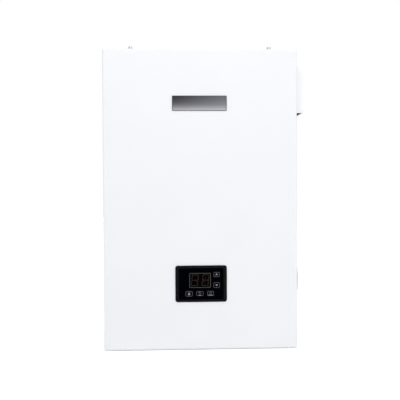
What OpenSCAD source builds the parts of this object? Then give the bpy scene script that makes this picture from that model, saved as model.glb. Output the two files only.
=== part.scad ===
// Wall-hung electric heating boiler with pump, expansion vessel and electronic control.
// The origin lies on the wall plane, midway between the two hanging holes.
// +X is to the right seen from the front, +Y points into the wall and +Z is up.

/* [Case] */
// Width of the front cover
case_w = 420; // [410:1:480]
// Height of the front cover
case_h = 650; // [640:1:720]
// Depth from the wall to the front of the cover
case_d = 220; // [214:1:260]
// Sheet thickness of the chassis
sheet_t = 1.5; // [1:0.1:2]
// Sheet thickness of the front cover
cover_t = 1.2; // [0.8:0.1:1.5]
// Outside bend radius of the front cover
bend_r = 3; // [2:0.5:5]
// Depth of the front cover's flanges
flange_d = 22; // [18:1:30]
// Gap between the cover's flanges and the chassis
cover_gap = 0.8; // [0.5:0.1:1.2]
// Height of the open skirt under the bottom panel
skirt_h = 30; // [26:1:34]
// Width of the folded lips of the side panels
lip_w = 12; // [8:1:16]

/* [Wall fixing] */
// Distance of the hanging holes below the top of the cover
hook_drop = 60; // [52:1:80]
// Distance between the hanging holes
hook_span = 300; // [260:1:320]
// Radius of the hole that a screw head passes
entry_r = 8; // [6.5:0.5:9]
// Width of the slot that holds the screw
slot_w = 9; // [6:0.5:10]
// Rise of the slot above the entry hole
slot_rise = 14; // [12:1:18]
// Radius of the lower fixing holes
fixing_r = 4.5; // [3:0.5:5]
// Height of the lower fixing holes above the lower edge of the cover
fixing_h = 15; // [12:1:18]

/* [Nameplate] */
// Width of the nameplate
badge_w = 118; // [80:1:140]
// Height of the nameplate
badge_h = 32.5; // [20:0.5:40]
// Thickness of the nameplate
badge_t = 1; // [0.5:0.1:2]
// Distance of its upper edge below the top of the cover
badge_drop = 100.5; // [80:0.5:140]
// Distance of its middle left of the cover's middle
badge_shift = 2; // [0:0.5:4]

/* [Cover screws] */
// Distance between the two screws on top
screw_span = 300; // [240:1:340]
// Distance of the screws behind the front of the cover
screw_setback = 9; // [7:0.5:12]
// Radius of the screw thread
screw_r = 2.5; // [2:0.5:3]
// Radius of the screw head
head_r = 4.2; // [3.5:0.1:5]
// Height of the screw head
head_h = 4.6; // [3:0.1:6]

/* [Control console] */
// Width of the bezel
bezel_w = 111.2; // [105:0.2:125]
// Height of the bezel
bezel_h = 78.6; // [74:0.2:90]
// Height of the bezel's lower edge above the lower edge of the cover
bezel_lift = 103.6; // [95:0.2:120]
// Corner radius of the bezel
bezel_r = 5; // [3:0.5:8]
// Width of the bezel's upright bars
bezel_side = 6.8; // [4:0.2:8]
// Width of the bezel's upper and lower bars
bezel_bar = 4.9; // [3:0.1:6]
// How far the bezel stands out of the cover
bezel_proud = 2.5; // [1.5:0.1:4]
// Gap round the bezel in the window of the cover
window_gap = 0.5; // [0.3:0.1:1]
// Depth of the console behind the front of the cover
console_d = 40; // [34:1:46]
// Width of a key
key_w = 16; // [12:0.2:17]
// Height of a key
key_h = 12.4; // [9:0.2:13]
// Travel of a key
key_travel = 0.5; // [0.3:0.1:0.8]
// Width of the display window
lens_w = 47.4; // [40:0.2:50]
// Height of the display window
lens_h = 33; // [28:0.2:34]

/* [Main switch] */
// Number of poles
poles = 4; // [2:1:4]
// Width of one pole
pole_w = 17.5; // [17:0.1:18]
// Height of the breaker
breaker_h = 85; // [80:1:90]
// Depth of the breaker from the rail side to its shoulders
breaker_d = 58; // [50:1:60]
// Height of the breaker's nose
nose_h = 45; // [42:1:46]
// Height of the flap's frame
flap_h = 60; // [56:1:66]
// How far the flap stands out of the cover's side
flap_out = 14; // [13.5:0.5:16]
// Distance of the frame behind the front of the cover
flap_setback = 57; // [46:1:60]
// Height of the flap's middle above the lower edge of the cover
flap_lift = 145.5; // [138:0.5:160]

/* [Vent hood] */
// How far the hood stands out of the cover's side
hood_out = 25; // [18:1:32]
// Distance of the hood behind the front of the cover
hood_setback = 60; // [40:1:80]
// Length of the hood from front to back
hood_l = 110; // [80:1:120]
// Distance of the hood's mouth below the top of the cover
hood_drop = 131; // [120:1:150]
// Height of the hood's upright face
hood_face_h = 92; // [70:1:96]
// Rise of the hood's sloping roof
hood_rise = 29; // [16:1:30]

/* [Electrics] */
// Height of the electrics plate's lower edge above the lower edge of the cover
plate_lift = 250; // [240:1:260]
// Distance of the electrics plate's upper edge below the top panel
plate_head = 51.5; // [44:0.5:60]
// Width of the power board
board_w = 110; // [90:1:116]
// Height of the power board
board_h = 112; // [90:1:120]
// Width of the heat sink
sink_w = 64; // [50:1:70]
// Height of the heat sink
sink_h = 160; // [130:1:170]
// Height of the fins of the heat sink
fin_h = 24; // [16:1:30]
// Number of fins
fins = 9; // [6:1:11]
// Width of the contactor
contactor_w = 45; // [40:1:55]
// Height of the contactor
contactor_h = 76; // [70:1:85]
// Depth of the contactor
contactor_d = 80; // [70:1:85]
// Number of terminals in the mains terminal block
terminals = 6; // [4:1:7]
// Width of one terminal
terminal_w = 15; // [12:0.5:16]

/* [Heater] */
// Radius of the heater tank
tank_r = 55; // [50:1:58]
// Free height between the heater tank's upper dome and the top panel
tank_head = 75; // [66:1:90]
// Wall of the heater tank
tank_t = 2; // [1.5:0.1:3]
// Gap between the tank and the side panel
tank_gap = 30; // [26:1:36]
// Number of heating elements
elements = 3; // [1:1:4]
// Radius of a heating element's tube
element_r = 4.2; // [3.5:0.1:5]
// Height of the elements' bends above the bottom of the tank
element_lift = 80; // [50:1:130]

/* [Expansion vessel] */
// Depth of the expansion vessel
vessel_d = 80; // [70:1:82]
// Wall of the expansion vessel
vessel_t = 1.5; // [1:0.1:2]

/* [Pump] */
// Length of the pump between its union faces
pump_l = 130; // [126:1:136]
// Radius of the pump motor
motor_r = 40; // [36:1:42]
// Length of the pump motor
motor_l = 56; // [50:1:66]
// Radius of the impeller
impeller_r = 31; // [26:1:33]
// Number of vanes on the impeller
vanes = 6; // [4:1:8]

/* [Connections] */
// Radius of the G 3/4 connections
stub_r = 13.2; // [12:0.1:14]
// Bore radius of the G 3/4 connections
stub_bore_r = 9.5; // [8:0.1:10]
// How far the connections stand out under the bottom panel
stub_l = 22; // [16:1:24]
// Radius of the flow pipe
pipe_r = 11; // [9:0.5:12]
// Wall of the flow pipe
pipe_t = 1; // [0.8:0.1:1.5]
// Radius of the safety valve's drain connection
drain_r = 10.4; // [9:0.1:11]
// Bore radius of the supply cable gland
supply_r = 8; // [6:0.5:9]
// Bore radius of the signal cable gland
signal_r = 4.5; // [3:0.5:5]

/* [Hidden] */
$fn = 48;

cut = 1;          // how far a cutting shape runs past a face
fit = 0.3;        // gap of parts that only have to clear each other
slide_fit = 0.06; // radial gap of a shaft in its bore

// Colours
powder_white = [0.95, 0.95, 0.96];
zinc_grey = [0.68, 0.7, 0.72];
brass_yellow = [0.78, 0.62, 0.3];
copper_red = [0.75, 0.42, 0.28];
steel_grey = [0.62, 0.63, 0.65];
black_plastic = [0.06, 0.06, 0.07];

// Planes of the case
base_z = hook_drop - case_h;
top_z = base_z + case_h;
side_x = case_w / 2 - cover_t - cover_gap;
inner_x = side_x - sheet_t;
foot_z = base_z + cover_t + cover_gap;
roof_z = top_z - cover_t - cover_gap;
ceiling_z = roof_z - sheet_t;
floor_z = base_z + skirt_h;
deck_z = floor_z + sheet_t;
front_y = -case_d;
lip_y = front_y + cover_t + cover_gap;
rear_y = -sheet_t;

function above_edge(h) = base_z + h;

// Case panels
slot_h = 4;
inlet_l = 70;
inlet_pitch = 11;
inlet_rows = 9;
inlet_lift = 230;
outlet_rows = 6;
outlet_pitch = 13;
cutout_gap = 1;
breaker_z = above_edge(flap_lift);
hood_y = front_y + hood_setback + hood_l / 2;
mouth_z = top_z - hood_drop;
shoulder_z = mouth_z + hood_face_h;
hood_x = case_w / 2 + hood_out;
top_lip = 14;
screw_y = front_y + screw_setback;
nut_h = 9;
gauge_x = 20;
gland_gap = 34;
supply_gland_t = 4.5;
signal_gland_t = 3.5;
supply_thread_r = supply_r + supply_gland_t;
signal_thread_r = signal_r + signal_gland_t;
hole_gap = 0.4;
pipe_gap = 10;
tank_x = -inner_x + tank_gap + tank_r;
pipe_x = tank_x + tank_r + pipe_gap + pipe_r;
vessel_pipe_gap = 7;
hyd_y = -(sheet_t + vessel_d + vessel_pipe_gap + pipe_r);
drain_out = 46;
drain_y = hyd_y - drain_out;
gland_margin = 10;
supply_x = inner_x - lip_w - supply_thread_r - gland_margin;
signal_x = supply_x - gland_gap;
gland_y = -sheet_t - gland_gap;

// Front cover
bezel_z = above_edge(bezel_lift) + bezel_h / 2;
badge_corner = 1.5;
washer_t = 1;
washer_r = 1.4 * head_r;
drive_w = 1.2;

// Vent hood on the right side
hood_wall = cover_t;
grille_t = 4;
grille_bar = 2;
grille_pitch = 7;

// Control console
bezel_y = front_y - bezel_proud;
face_step = 1.2;
face_t = 2;
face_y = bezel_y + face_step;
face_back_y = face_y + face_t;
face_gap = 0.1;
face_w = bezel_w - 2 * bezel_side - 2 * face_gap;
face_h = bezel_h - 2 * bezel_bar - 2 * face_gap;
face_r = 1.5;
key_gap = 0.3;
key_rise = 0.8;
key_r_share = 0.22;
key_flange = 1.1;
key_flange_t = 1;
key_places_share = [[0.344, 0.289], [0.344, -0.039], [-0.27, -0.306], [-0.03, -0.306],
    [0.208, -0.306]];
key_size_share = [[0.94, 0.94], [0.94, 1.09], [1.04, 1.04], [1.04, 0.97], [0.99, 0.97]];
lens_place_share = [-0.024, 0.115];
board_gap = 9;
pcb_t = 1.6;
pcb_y = face_back_y + board_gap;
switch_h = 4.3;
switch_w = 6;
switch_stem_r = 1.7;
wall = 2;
ledge = 3;
post_r = 3;
console_rear_y = front_y + console_d;
post_x_share = 0.42;
post_z_share = 0.4;
function face_point(share) = [share[0] * face_w, share[1] * face_h];
function key_size(i) = [key_size_share[i][0] * key_w, key_size_share[i][1] * key_h];
digit_wall = 1.2;
bracket_foot = 22;
bracket_arm = 18;
gauge_r = 20;
gauge_gap = 1.6;
gauge_y = console_rear_y + bracket_foot + gauge_gap + gauge_r;

// Main switch
frame_t = 2.5;
frame_margin = 7;
frame_l = poles * pole_w + 2 * frame_margin;
shoulder_gap = 2;
nose_out = 1;
shoulder_x = inner_x - shoulder_gap;
nose_x = side_x + nose_out;
breaker_rear_x = shoulder_x - breaker_d;
rail_h = 35;
rail_d = 7.5;
rail_t = 1;
rail_lip = 5;
rail_end = 3;
rail_l = frame_l + 2 * rail_end;
notch_d = 3;
pivot_in = 4;
pivot_x = nose_x - pivot_in;
hub_r = 6.5;
rib_t = 5;
toggle_l = 12;
toggle_t = 4;
toggle_angle = 30;
tie_h = 3;
hub_w = pole_w - rib_t;
lug_t = 3;
pin_r = 1.25;
knuckle_r = 2.3;
flap_t = 1.5;
flap_edge = 11;
flap_sag = 3;
flap_lift_off = 0.3;
flap_x = side_x + frame_t + flap_lift_off;
flap_rise = case_w / 2 + flap_out - flap_x - flap_edge;
flap_gap = 0.5;
flap_half = flap_h / 2 - flap_gap;
flap_arc_r = (pow(flap_half + flap_sag, 2) + flap_rise * flap_rise) / (2 * flap_rise);
pin_x = flap_x + knuckle_r;
pin_drop = 1.2;
pin_z = breaker_z + flap_half - knuckle_r - pin_drop;
flap_l = frame_l - 2 * (lug_t + fit) - 2 * fit;

// Case panels
breaker_y = front_y + flap_setback + frame_l / 2;

// Cable glands in the bottom panel
gland_nut_h = 6;
gland_dome_h = 12;
gland_rim = 5;
gland_taper = 1;

// Electrics
plate_gap = 16;
plate_x0 = pipe_x + pipe_r + plate_gap;
plate_x1 = inner_x;
plate_clear = 12;
plate_y = rear_y - vessel_d - plate_clear;
plate_front_y = plate_y - sheet_t;
plate_z0 = above_edge(plate_lift);
plate_z1 = ceiling_z - plate_head;
pillar_r = 5;
pillar_inset = 8;
margin = 8;
board_lift = 8;
board_x = plate_x0 + margin;
board_z = plate_z1 - margin - board_h;
board_y = plate_front_y - board_lift;
relay_w = 20;
relay_d = 16;
relay_h = 19;
relays = 4;
relay_pitch_share = 0.225;
relay_z_share = 0.68;
coil_share = [0.38, 0.26, 0.3];
can_r = 6;
can_h = 18;
cans = 3;
can_pitch = 18;
plug_h = 9;
plug_d = 8;
plug_inset = 4;
sink_base = 5;
fin_t = 1.6;
sink_foot_share = 0.3;
sink_x = plate_x1 - sheet_t - margin - sink_w;
sink_z = plate_z1 - margin - sink_h;
sink_foot = sink_foot_share * sink_h;
triacs = 3;
triac_d = 12;
triac_gap = 3;
contactor_gap = 14;
contactor_x = board_x + contactor_gap;
contactor_z = board_z - contactor_gap - contactor_h;
contactor_y = plate_front_y - contactor_d;
contactor_step_share = 0.45;
contactor_face_share = 0.6;
plunger_w = 9;
plunger_h = 14;
plunger_l = 16;
plunger_out = 4;
screws_share = [0.2, 0.5, 0.8];
terminal_h = 34;
terminal_d = 26;
barrier_t = 2;
barrier_rise = 8;
terminal_x = plate_x1 - margin - terminals * terminal_w - margin;
terminal_z = plate_z0 + margin;
stud_r = 3;
stud_l = 12;
stat_w = 34;
stat_d = 26;
stat_nose_r = 7;
stat_nose_h = 8;
reset_r = 4;
reset_l = 14;
reset_out = 3;
reset_travel = 1.5;
stat_x = contactor_x + contactor_w + 2 * contactor_gap + stat_w / 2;
stat_z = contactor_z + contactor_h / 2;

// Heater tank with its elements
nozzle_l = 30;
tank_dome = 22;
neck_r = 32;
neck_h = 10;
neck_flange_r = 44;
neck_flange_t = 5;
nozzle_r = 14;
nozzle_bore_r = 10;
collar_r = 21;
collar_t = 4;
outlet_drop = 36;
outlet_r = 13;
outlet_l = 5;
band_w = 18;
band_t = 1.2;
saddle_w = 50;
tank_bands_share = [0.2, 0.72];
flange_t = 6;
bolts = 6;
bolt_r = 3;
bolt_rim = 4;
bolt_pcd_r = 38;
element_gap = 3;
terminal_pin_r = 2;
terminal_pin_l = 16;
insulator_h = 6;
element_pcd_r = neck_r - element_r - element_gap;

// Flow side
tee_up = 22;
tee_down = 22;
vent_r = 15;
vent_h = 34;
vent_cap_r = 6;
vent_cap_h = 8;
switch_body_h = 64;
switch_r = 17;
switch_box = [34, 30, 44];
switch_sink = 3;
stub_top_z = deck_z + stub_l;
pipe_bottom_z = stub_top_z + switch_body_h;
lock_nut_h = 6;
lock_nut_rim = 7;

// Return side: manifold, pump and union nuts
manifold_r = 17;
manifold_z = deck_z + lock_nut_h;
union_rise = 50;
union_z = deck_z + union_rise;
pump_z = union_z + pump_l / 2;
pump_top_z = union_z + pump_l;
arm_rise = 24;
arm_z = deck_z + arm_rise;
arm_r = 9;
arm_front = 26;
arm_back = 24;
arm_side = 30;
hose_bore_r = 3;
clip_t = 2;
clip_w = 12;
probe_l = 14;
thread_r = 23.9;
thread_l = 12;
nut_across = 54;
union_nut_h = 18;
union_sides = 8;
lip_h = 4;
volute_back = 24;
volute_front = 22;
volute_min_r = 40;
volute_grow = 10;
chamber_t = 16;
chamber_gap = 2;
chamber_y = 8;
shaft_r = 4;
shaft_l = 40;
motor_y = hyd_y - volute_front;
motor_flange_t = 6;
motor_rim = 2;
fin_ring_t = 3;
motor_fins = 6;
motor_core = 3;
box_w = 62;
box_d = 36;
box_h = 26;
box_gap = 8;
box_y = motor_y - motor_flange_t - box_gap;
knob_r = 8;
knob_h = 9;
knob_shaft_r = 2.5;
knob_shaft_l = 8;
knob_z = pump_z + motor_r + box_h / 2;
impeller_t = 10;
shroud_t = 2;
vane_share = [0.22, 0.97];
vane_sweep = 70;
vane_steps = 8;

// Heater tank
tank_z = pump_top_z + nozzle_l;
tank_top_z = ceiling_z - tank_head;
tank_h = tank_top_z - tank_z;
outlet_z = tank_top_z - outlet_drop;
flange_z = tank_top_z + neck_h;
element_l = flange_z - tank_z - element_lift;

// Flow side
pipe_top_z = outlet_z - tee_down;

// Expansion vessel with its hose
vessel_gap = 3;
vessel_side = 10;
vessel_x0 = tank_x + tank_r + vessel_gap;
vessel_x1 = inner_x - vessel_side;
vessel_r = (vessel_x1 - vessel_x0) / 2;
vessel_x = (vessel_x0 + vessel_x1) / 2;
vessel_drop = 86.5;
vessel_z = ceiling_z - vessel_drop - vessel_r;
vessel_dome = 28;
seam_w = 5;
seam_t = 3;
nipple_r = 7;
nipple_l = 18;
hose_r = 5;
hose_sides = 10;
route_steps = 3;
hose_start = [[0, 0, 0], [0, 12, 0], [6, 30, 0], [22, 45, 2], [50, 52, 8], [90, 52, 24],
    [128, 46, 56]];
hose_goal = [[-16, 0, -90], [-3, 0, -45], [0, 0, -15], [0, 0, 0]];

// Safety valve on the front arm of the manifold
valve_l = 38;
valve_r = 12;
valve_hex_l = 10;
dial_r = 15;
dial_h = 16;
dial_shaft_r = 4;
lobes = 8;
lobe_r = 3;
valve_rim = 1;
drain_wall = 3;
valve_y = hyd_y - arm_front;

// Pressure gauge in the bottom panel
gauge_h = 24;
gauge_rim_w = 3;
gauge_rim_t = 3;
gauge_wall = 1;
dial_depth = 5;
needle_r = 1.2;
hub_h = 2.5;
capillary_r = 1.5;
capillary_start = [[0, 0, 0], [10, 0, 0], [40, 2, -2], [85, 4, 0]];
capillary_goal = [[-14, 4, 16], [-4, 0, 26], [0, 0, 16], [0, 0, 0]];
needle_w = 1.6;
needle_t = 1;
needle_rest = -135;

// Wiring
wire_r = 1.6;
wire_sides = 8;
wire_gap = 6;
lead_l = 16;
lead_end = 5;
lead_out = 2;

// Plain helpers
module block(low, high) {
    translate(low) cube(high - low);
}

module ring(r_out, r_in, h) {
    difference() {
        cylinder(r = r_out, h = h);
        translate([0, 0, -cut]) cylinder(r = r_in, h = h + 2 * cut);
    }
}

module to_front() {
    rotate([90, 0, 0]) children();
}

module to_right() {
    rotate([90, 0, 90]) children();
}

module round_rect(w, h, r) {
    square([w - 2 * r, h], center = true);
    square([w, h - 2 * r], center = true);
    for (x = [-1, 1], y = [-1, 1])
        translate([x * (w / 2 - r), y * (h / 2 - r)]) circle(r = r);
}

module round_slot(l, w) {
    square([l - w, w], center = true);
    for (x = [-1, 1]) translate([x * (l - w) / 2, 0]) circle(r = w / 2);
}

function unit(v) = v / norm(v);
function last(list) = len(list) - 1;
function along(p, i) = unit(p[min(i + 1, last(p))] - p[max(i - 1, 0)]);
function carry(p, side, i = 0) =
    let(t = along(p, i), u = unit(side - (side * t) * t))
    i == last(p) ? [u] : concat([u], carry(p, u, i + 1));
function bend(a, b, c, d, s) =
    0.5 * (2 * b + (c - a) * s + (2 * a - 5 * b + 4 * c - d) * s * s
        + (3 * b - a - 3 * c + d) * s * s * s);
function smooth(p, steps) = concat([p[0]],
    [for (i = [1 : last(p) - 2], k = [0 : steps - 1])
        bend(p[i - 1], p[i], p[i + 1], p[i + 2], k / steps)],
    [p[last(p) - 1], p[last(p)]]);

module route_tube(points, r, sides, steps) {
    path = smooth(points, steps);
    first = along(path, 0);
    side = abs(first[2]) > 0.9 ? [1, 0, 0] : [0, 0, 1];
    frames = carry(path, side);
    rings = [for (i = [0 : last(path)], j = [0 : sides - 1])
        let(a = 360 * j / sides, t = along(path, i), u = frames[i])
        path[i] + r * (cos(a) * u + sin(a) * cross(t, u))];
    end = last(path) * sides;
    polyhedron(rings, concat(
        [[for (j = [0 : sides - 1]) j]],
        [for (i = [0 : last(path) - 1], j = [0 : sides - 1])
            let(k = (j + 1) % sides)
            [i * sides + k, i * sides + j, (i + 1) * sides + j, (i + 1) * sides + k]],
        [[for (j = [sides - 1 : -1 : 0]) end + j]]));
}

module hex(across, h, sides = 6) {
    cylinder(r = across / 2 / cos(180 / sides), h = h, $fn = sides);
}

// Case panels

module keyhole() {
    translate([0, 0, -cut]) cylinder(r = entry_r, h = sheet_t + 2 * cut);
    translate([-slot_w / 2, 0, -cut]) cube([slot_w, slot_rise, sheet_t + 2 * cut]);
    translate([0, slot_rise, -cut]) cylinder(r = slot_w / 2, h = sheet_t + 2 * cut);
}

module back_plate() {
    color(powder_white)
    difference() {
        block([-side_x, rear_y, foot_z], [side_x, 0, ceiling_z]);
        for (x = [-1, 1]) {
            translate([x * hook_span / 2, 0, 0]) to_front() keyhole();
            translate([x * hook_span / 2, cut, above_edge(fixing_h)])
                to_front() cylinder(r = fixing_r, h = sheet_t + 2 * cut);
        }
    }
}

module side_blank() {
    block([inner_x, lip_y, foot_z], [side_x, rear_y, ceiling_z]);
    block([inner_x - lip_w, lip_y, foot_z], [side_x, lip_y + sheet_t, ceiling_z]);
    block([inner_x - lip_w, rear_y - sheet_t, foot_z], [side_x, rear_y, ceiling_z]);
}

module inlet_slots(y) {
    for (i = [0 : inlet_rows - 1])
        translate([inner_x - cut, y, above_edge(inlet_lift) + i * inlet_pitch])
            to_right() linear_extrude(sheet_t + 2 * cut) round_slot(inlet_l, slot_h);
}

module left_side_panel() {
    color(powder_white)
    mirror([1, 0, 0])
    difference() {
        side_blank();
        inlet_slots(-case_d / 2);
    }
}

module right_side_panel() {
    color(powder_white)
    difference() {
        side_blank();
        inlet_slots(-case_d / 2);
        translate([inner_x - cut, breaker_y, breaker_z]) to_right()
            linear_extrude(sheet_t + 2 * cut)
                square([poles * pole_w + 2 * cutout_gap, nose_h + 2 * cutout_gap], center = true);
        for (i = [0 : outlet_rows - 1])
            translate([inner_x - cut, hood_y, mouth_z + outlet_pitch * (i + 1)])
                to_right() linear_extrude(sheet_t + 2 * cut)
                    round_slot(hood_l - 2 * outlet_pitch, 2 * slot_h);
    }
}

module top_panel() {
    lip_x = inner_x - lip_w - fit;
    color(powder_white)
    difference() {
        union() {
            block([-side_x, lip_y, ceiling_z], [side_x, 0, roof_z]);
            block([-lip_x, lip_y, roof_z - top_lip], [lip_x, lip_y + sheet_t, roof_z]);
            block([-lip_x, rear_y - sheet_t, roof_z - top_lip], [lip_x, rear_y, roof_z]);
            for (x = [-1, 1])
                translate([x * screw_span / 2, screw_y, ceiling_z - nut_h])
                    cylinder(r = 2 * screw_r, h = nut_h + sheet_t);
        }
        for (x = [-1, 1])
            translate([x * screw_span / 2, screw_y, ceiling_z - nut_h - cut])
                cylinder(r = screw_r + slide_fit, h = nut_h + sheet_t + 2 * cut);
    }
}

module bottom_panel() {
    tongue_x = inner_x - lip_w - fit;
    color(powder_white)
    difference() {
        union() {
            block([-inner_x, lip_y + sheet_t, floor_z], [inner_x, rear_y - sheet_t, deck_z]);
            block([-tongue_x, lip_y + sheet_t, floor_z], [tongue_x, rear_y, deck_z]);
            block([-tongue_x, rear_y - sheet_t, floor_z], [tongue_x, rear_y, deck_z + lip_w]);
            for (x = [-1, 1])
                block([x > 0 ? inner_x - sheet_t : -inner_x, lip_y + sheet_t, floor_z],
                    [x > 0 ? inner_x : sheet_t - inner_x, rear_y - sheet_t, deck_z + lip_w]);
        }
        floor_hole(tank_x, hyd_y, stub_r + hole_gap);
        floor_hole(pipe_x, hyd_y, stub_r + hole_gap);
        floor_hole(tank_x, drain_y, drain_r + hole_gap);
        floor_hole(supply_x, gland_y, supply_thread_r + hole_gap);
        floor_hole(signal_x, gland_y, signal_thread_r + hole_gap);
        floor_hole(gauge_x, gauge_y, gauge_r + hole_gap);
    }
}

module floor_hole(x, y, r) {
    translate([x, y, floor_z - cut]) cylinder(r = r, h = sheet_t + 2 * cut);
}

// Front cover

module pan_profile(half, low, high, r) {
    translate([-half, low + r]) square([2 * half, high - low - r]);
    translate([r - half, low]) square([2 * (half - r), high - low]);
    for (x = [-1, 1]) translate([x * (half - r), low + r]) circle(r = r);
}

module pan_solid(inset, r, back_y) {
    half_w = case_w / 2 - inset;
    half_h = case_h / 2 - inset;
    intersection() {
        translate([0, 0, base_z + inset])
            linear_extrude(2 * half_h) pan_profile(half_w, front_y + inset, back_y, r);
        translate([half_w, 0, base_z + case_h / 2]) rotate([0, -90, 0])
            linear_extrude(2 * half_w) pan_profile(half_h, front_y + inset, back_y, r);
    }
}

module front_cover() {
    back_y = front_y + flange_d;
    color(powder_white)
    difference() {
        pan_solid(0, bend_r, back_y);
        pan_solid(cover_t, min(bend_r - cover_t, 2 * cover_gap), back_y + cut);
        translate([0, front_y + cover_t + cut, bezel_z]) to_front()
            linear_extrude(cover_t + 2 * cut)
                round_rect(bezel_w + 2 * window_gap, bezel_h + 2 * window_gap,
                    bezel_r + window_gap);
        for (x = [-1, 1])
            translate([x * screw_span / 2, 0, top_z - cover_t - cut]) {
                translate([0, screw_y, 0]) cylinder(r = screw_r + fit, h = cover_t + 2 * cut);
                block([-screw_r - fit, screw_y, 0],
                    [screw_r + fit, back_y + cut, cover_t + 2 * cut]);
            }
    }
}

module nameplate() {
    color([0.7, 0.71, 0.73])
    translate([-badge_shift, front_y, top_z - badge_drop - badge_h / 2]) to_front()
        linear_extrude(badge_t) round_rect(badge_w, badge_h, badge_corner);
}

module cover_screws() {
    color(zinc_grey)
    for (x = [-1, 1])
        translate([x * screw_span / 2, screw_y, top_z + slide_fit]) {
            cylinder(r = washer_r, h = washer_t);
            difference() {
                cylinder(r = head_r, h = washer_t + head_h);
                translate([-head_r - cut, -drive_w / 2, washer_t + head_h / 2])
                    cube([2 * (head_r + cut), drive_w, head_h]);
            }
            shank_l = top_z - ceiling_z + nut_h;
            translate([0, 0, -shank_l]) cylinder(r = screw_r, h = shank_l + washer_t);
        }
}

// Vent hood on the right side

module hood_outline(x_in, x_out, low) {
    slope = hood_rise / (hood_x - side_x);
    drop = (hood_x - x_out) * sqrt(1 + slope * slope);
    roof = shoulder_z + hood_rise - drop;
    polygon([
        [x_in, low],
        [x_out, low],
        [x_out, shoulder_z - drop + slope * (hood_x - x_out)],
        [side_x, roof],
        [x_in, roof]
    ]);
}

module hood_body(x_in, x_out, low, l) {
    translate([0, hood_y + l / 2, 0]) to_front()
        linear_extrude(l) hood_outline(x_in, x_out, low);
}

module side_vent_hood() {
    color(powder_white)
    difference() {
        hood_body(side_x, hood_x, mouth_z, hood_l);
        hood_body(side_x - cut, hood_x - hood_wall, mouth_z - cut, hood_l - 2 * hood_wall);
    }
}

module hood_grille() {
    x0 = side_x;
    x1 = hood_x - hood_wall;
    half = hood_l / 2 - hood_wall;
    open_w = grille_pitch - grille_bar;
    rows = floor((2 * half - 2 * grille_bar) / grille_pitch);
    start = -rows * grille_pitch / 2 + grille_bar / 2;
    color(black_plastic)
    difference() {
        block([x0, hood_y - half, mouth_z], [x1, hood_y + half, mouth_z + grille_t]);
        for (i = [0 : rows - 1])
            translate([x0 + grille_bar, hood_y + start + i * grille_pitch, mouth_z - cut])
                cube([x1 - x0 - 2 * grille_bar, open_w, grille_t + 2 * cut]);
    }
}

// Control console

module at_face(share, y) {
    p = face_point(share);
    translate([p[0], y, bezel_z + p[1]]) to_front() children();
}

module control_bezel() {
    color(black_plastic)
    difference() {
        translate([0, face_back_y, bezel_z]) to_front() {
            linear_extrude(face_back_y - bezel_y - face_step) round_rect(bezel_w, bezel_h, bezel_r);
            linear_extrude(face_back_y - bezel_y)
                round_rect(bezel_w - 2 * face_step, bezel_h - 2 * face_step, bezel_r - face_step);
        }
        translate([0, face_back_y + cut, bezel_z]) to_front()
            linear_extrude(face_back_y - bezel_y + 2 * cut)
                round_rect(face_w + 2 * face_gap, face_h + 2 * face_gap, face_r + face_gap);
    }
}

module key_outline(i, grow) {
    size = key_size(i);
    round_rect(size[0] + 2 * grow, size[1] + 2 * grow, key_r_share * size[1] + grow);
}

module console_face() {
    color(black_plastic)
    difference() {
        translate([0, face_back_y, bezel_z]) to_front()
            linear_extrude(face_t) round_rect(face_w, face_h, face_r);
        for (i = [0 : len(key_places_share) - 1])
            at_face(key_places_share[i], face_back_y + cut)
                linear_extrude(face_t + 2 * cut) key_outline(i, key_gap);
        at_face(lens_place_share, face_back_y + cut)
            linear_extrude(face_t + 2 * cut)
                round_rect(lens_w + 2 * face_gap, lens_h + 2 * face_gap, face_r + face_gap);
    }
}

module display_lens() {
    color([0.2, 0.1, 0.1, 0.5])
    at_face(lens_place_share, face_back_y)
        linear_extrude(face_t + fit) round_rect(lens_w, lens_h, face_r);
}

module led_display() {
    color([0.15, 0.08, 0.08])
    at_face(lens_place_share, pcb_y)
        linear_extrude(board_gap - fit)
            round_rect(lens_w - 2 * digit_wall, lens_h - 2 * digit_wall, face_r);
}

module display_board() {
    color([0.1, 0.35, 0.2]) {
        translate([0, pcb_y + pcb_t, bezel_z]) to_front()
            linear_extrude(pcb_t) square([face_w - 2 * ledge, face_h - 2 * ledge], center = true);
        for (place = key_places_share)
            at_face(place, pcb_y) {
                translate([-switch_w / 2, -switch_w / 2, 0])
                    cube([switch_w, switch_w, switch_h]);
            }
    }
}

module console_key(i) {
    stem_l = board_gap - switch_h - key_travel - face_gap;
    color([0.1, 0.1, 0.11])
    at_face(key_places_share[i], face_back_y) {
        linear_extrude(face_t + key_rise) key_outline(i, 0);
        translate([0, 0, -face_gap - key_flange_t])
            linear_extrude(key_flange_t) key_outline(i, key_flange);
        translate([0, 0, -stem_l]) cylinder(r = switch_stem_r, h = stem_l);
    }
}

module key_up() { console_key(0); }
module key_down() { console_key(1); }
module key_heating() { console_key(2); }
module key_tap() { console_key(3); }
module key_power() { console_key(4); }

module console_housing() {
    outer_w = bezel_w - 2 * face_gap;
    outer_h = bezel_h - 2 * face_gap;
    depth = console_rear_y - face_back_y;
    color(black_plastic) {
        difference() {
            translate([0, console_rear_y, bezel_z]) to_front()
                linear_extrude(depth) round_rect(outer_w, outer_h, bezel_r);
            translate([0, console_rear_y - wall, bezel_z]) to_front() {
                linear_extrude(depth - wall - ledge)
                    round_rect(outer_w - 2 * wall, outer_h - 2 * wall, bezel_r - wall);
                linear_extrude(depth)
                    square([face_w - 2 * ledge + fit, face_h - 2 * ledge + fit], center = true);
            }
        }
        for (x = [-1, 1], z = [-1, 1])
            translate([x * post_x_share * face_w, console_rear_y, bezel_z + z * post_z_share * face_h])
                to_front() cylinder(r = post_r, h = console_rear_y - pcb_y - pcb_t);
    }
}

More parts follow.
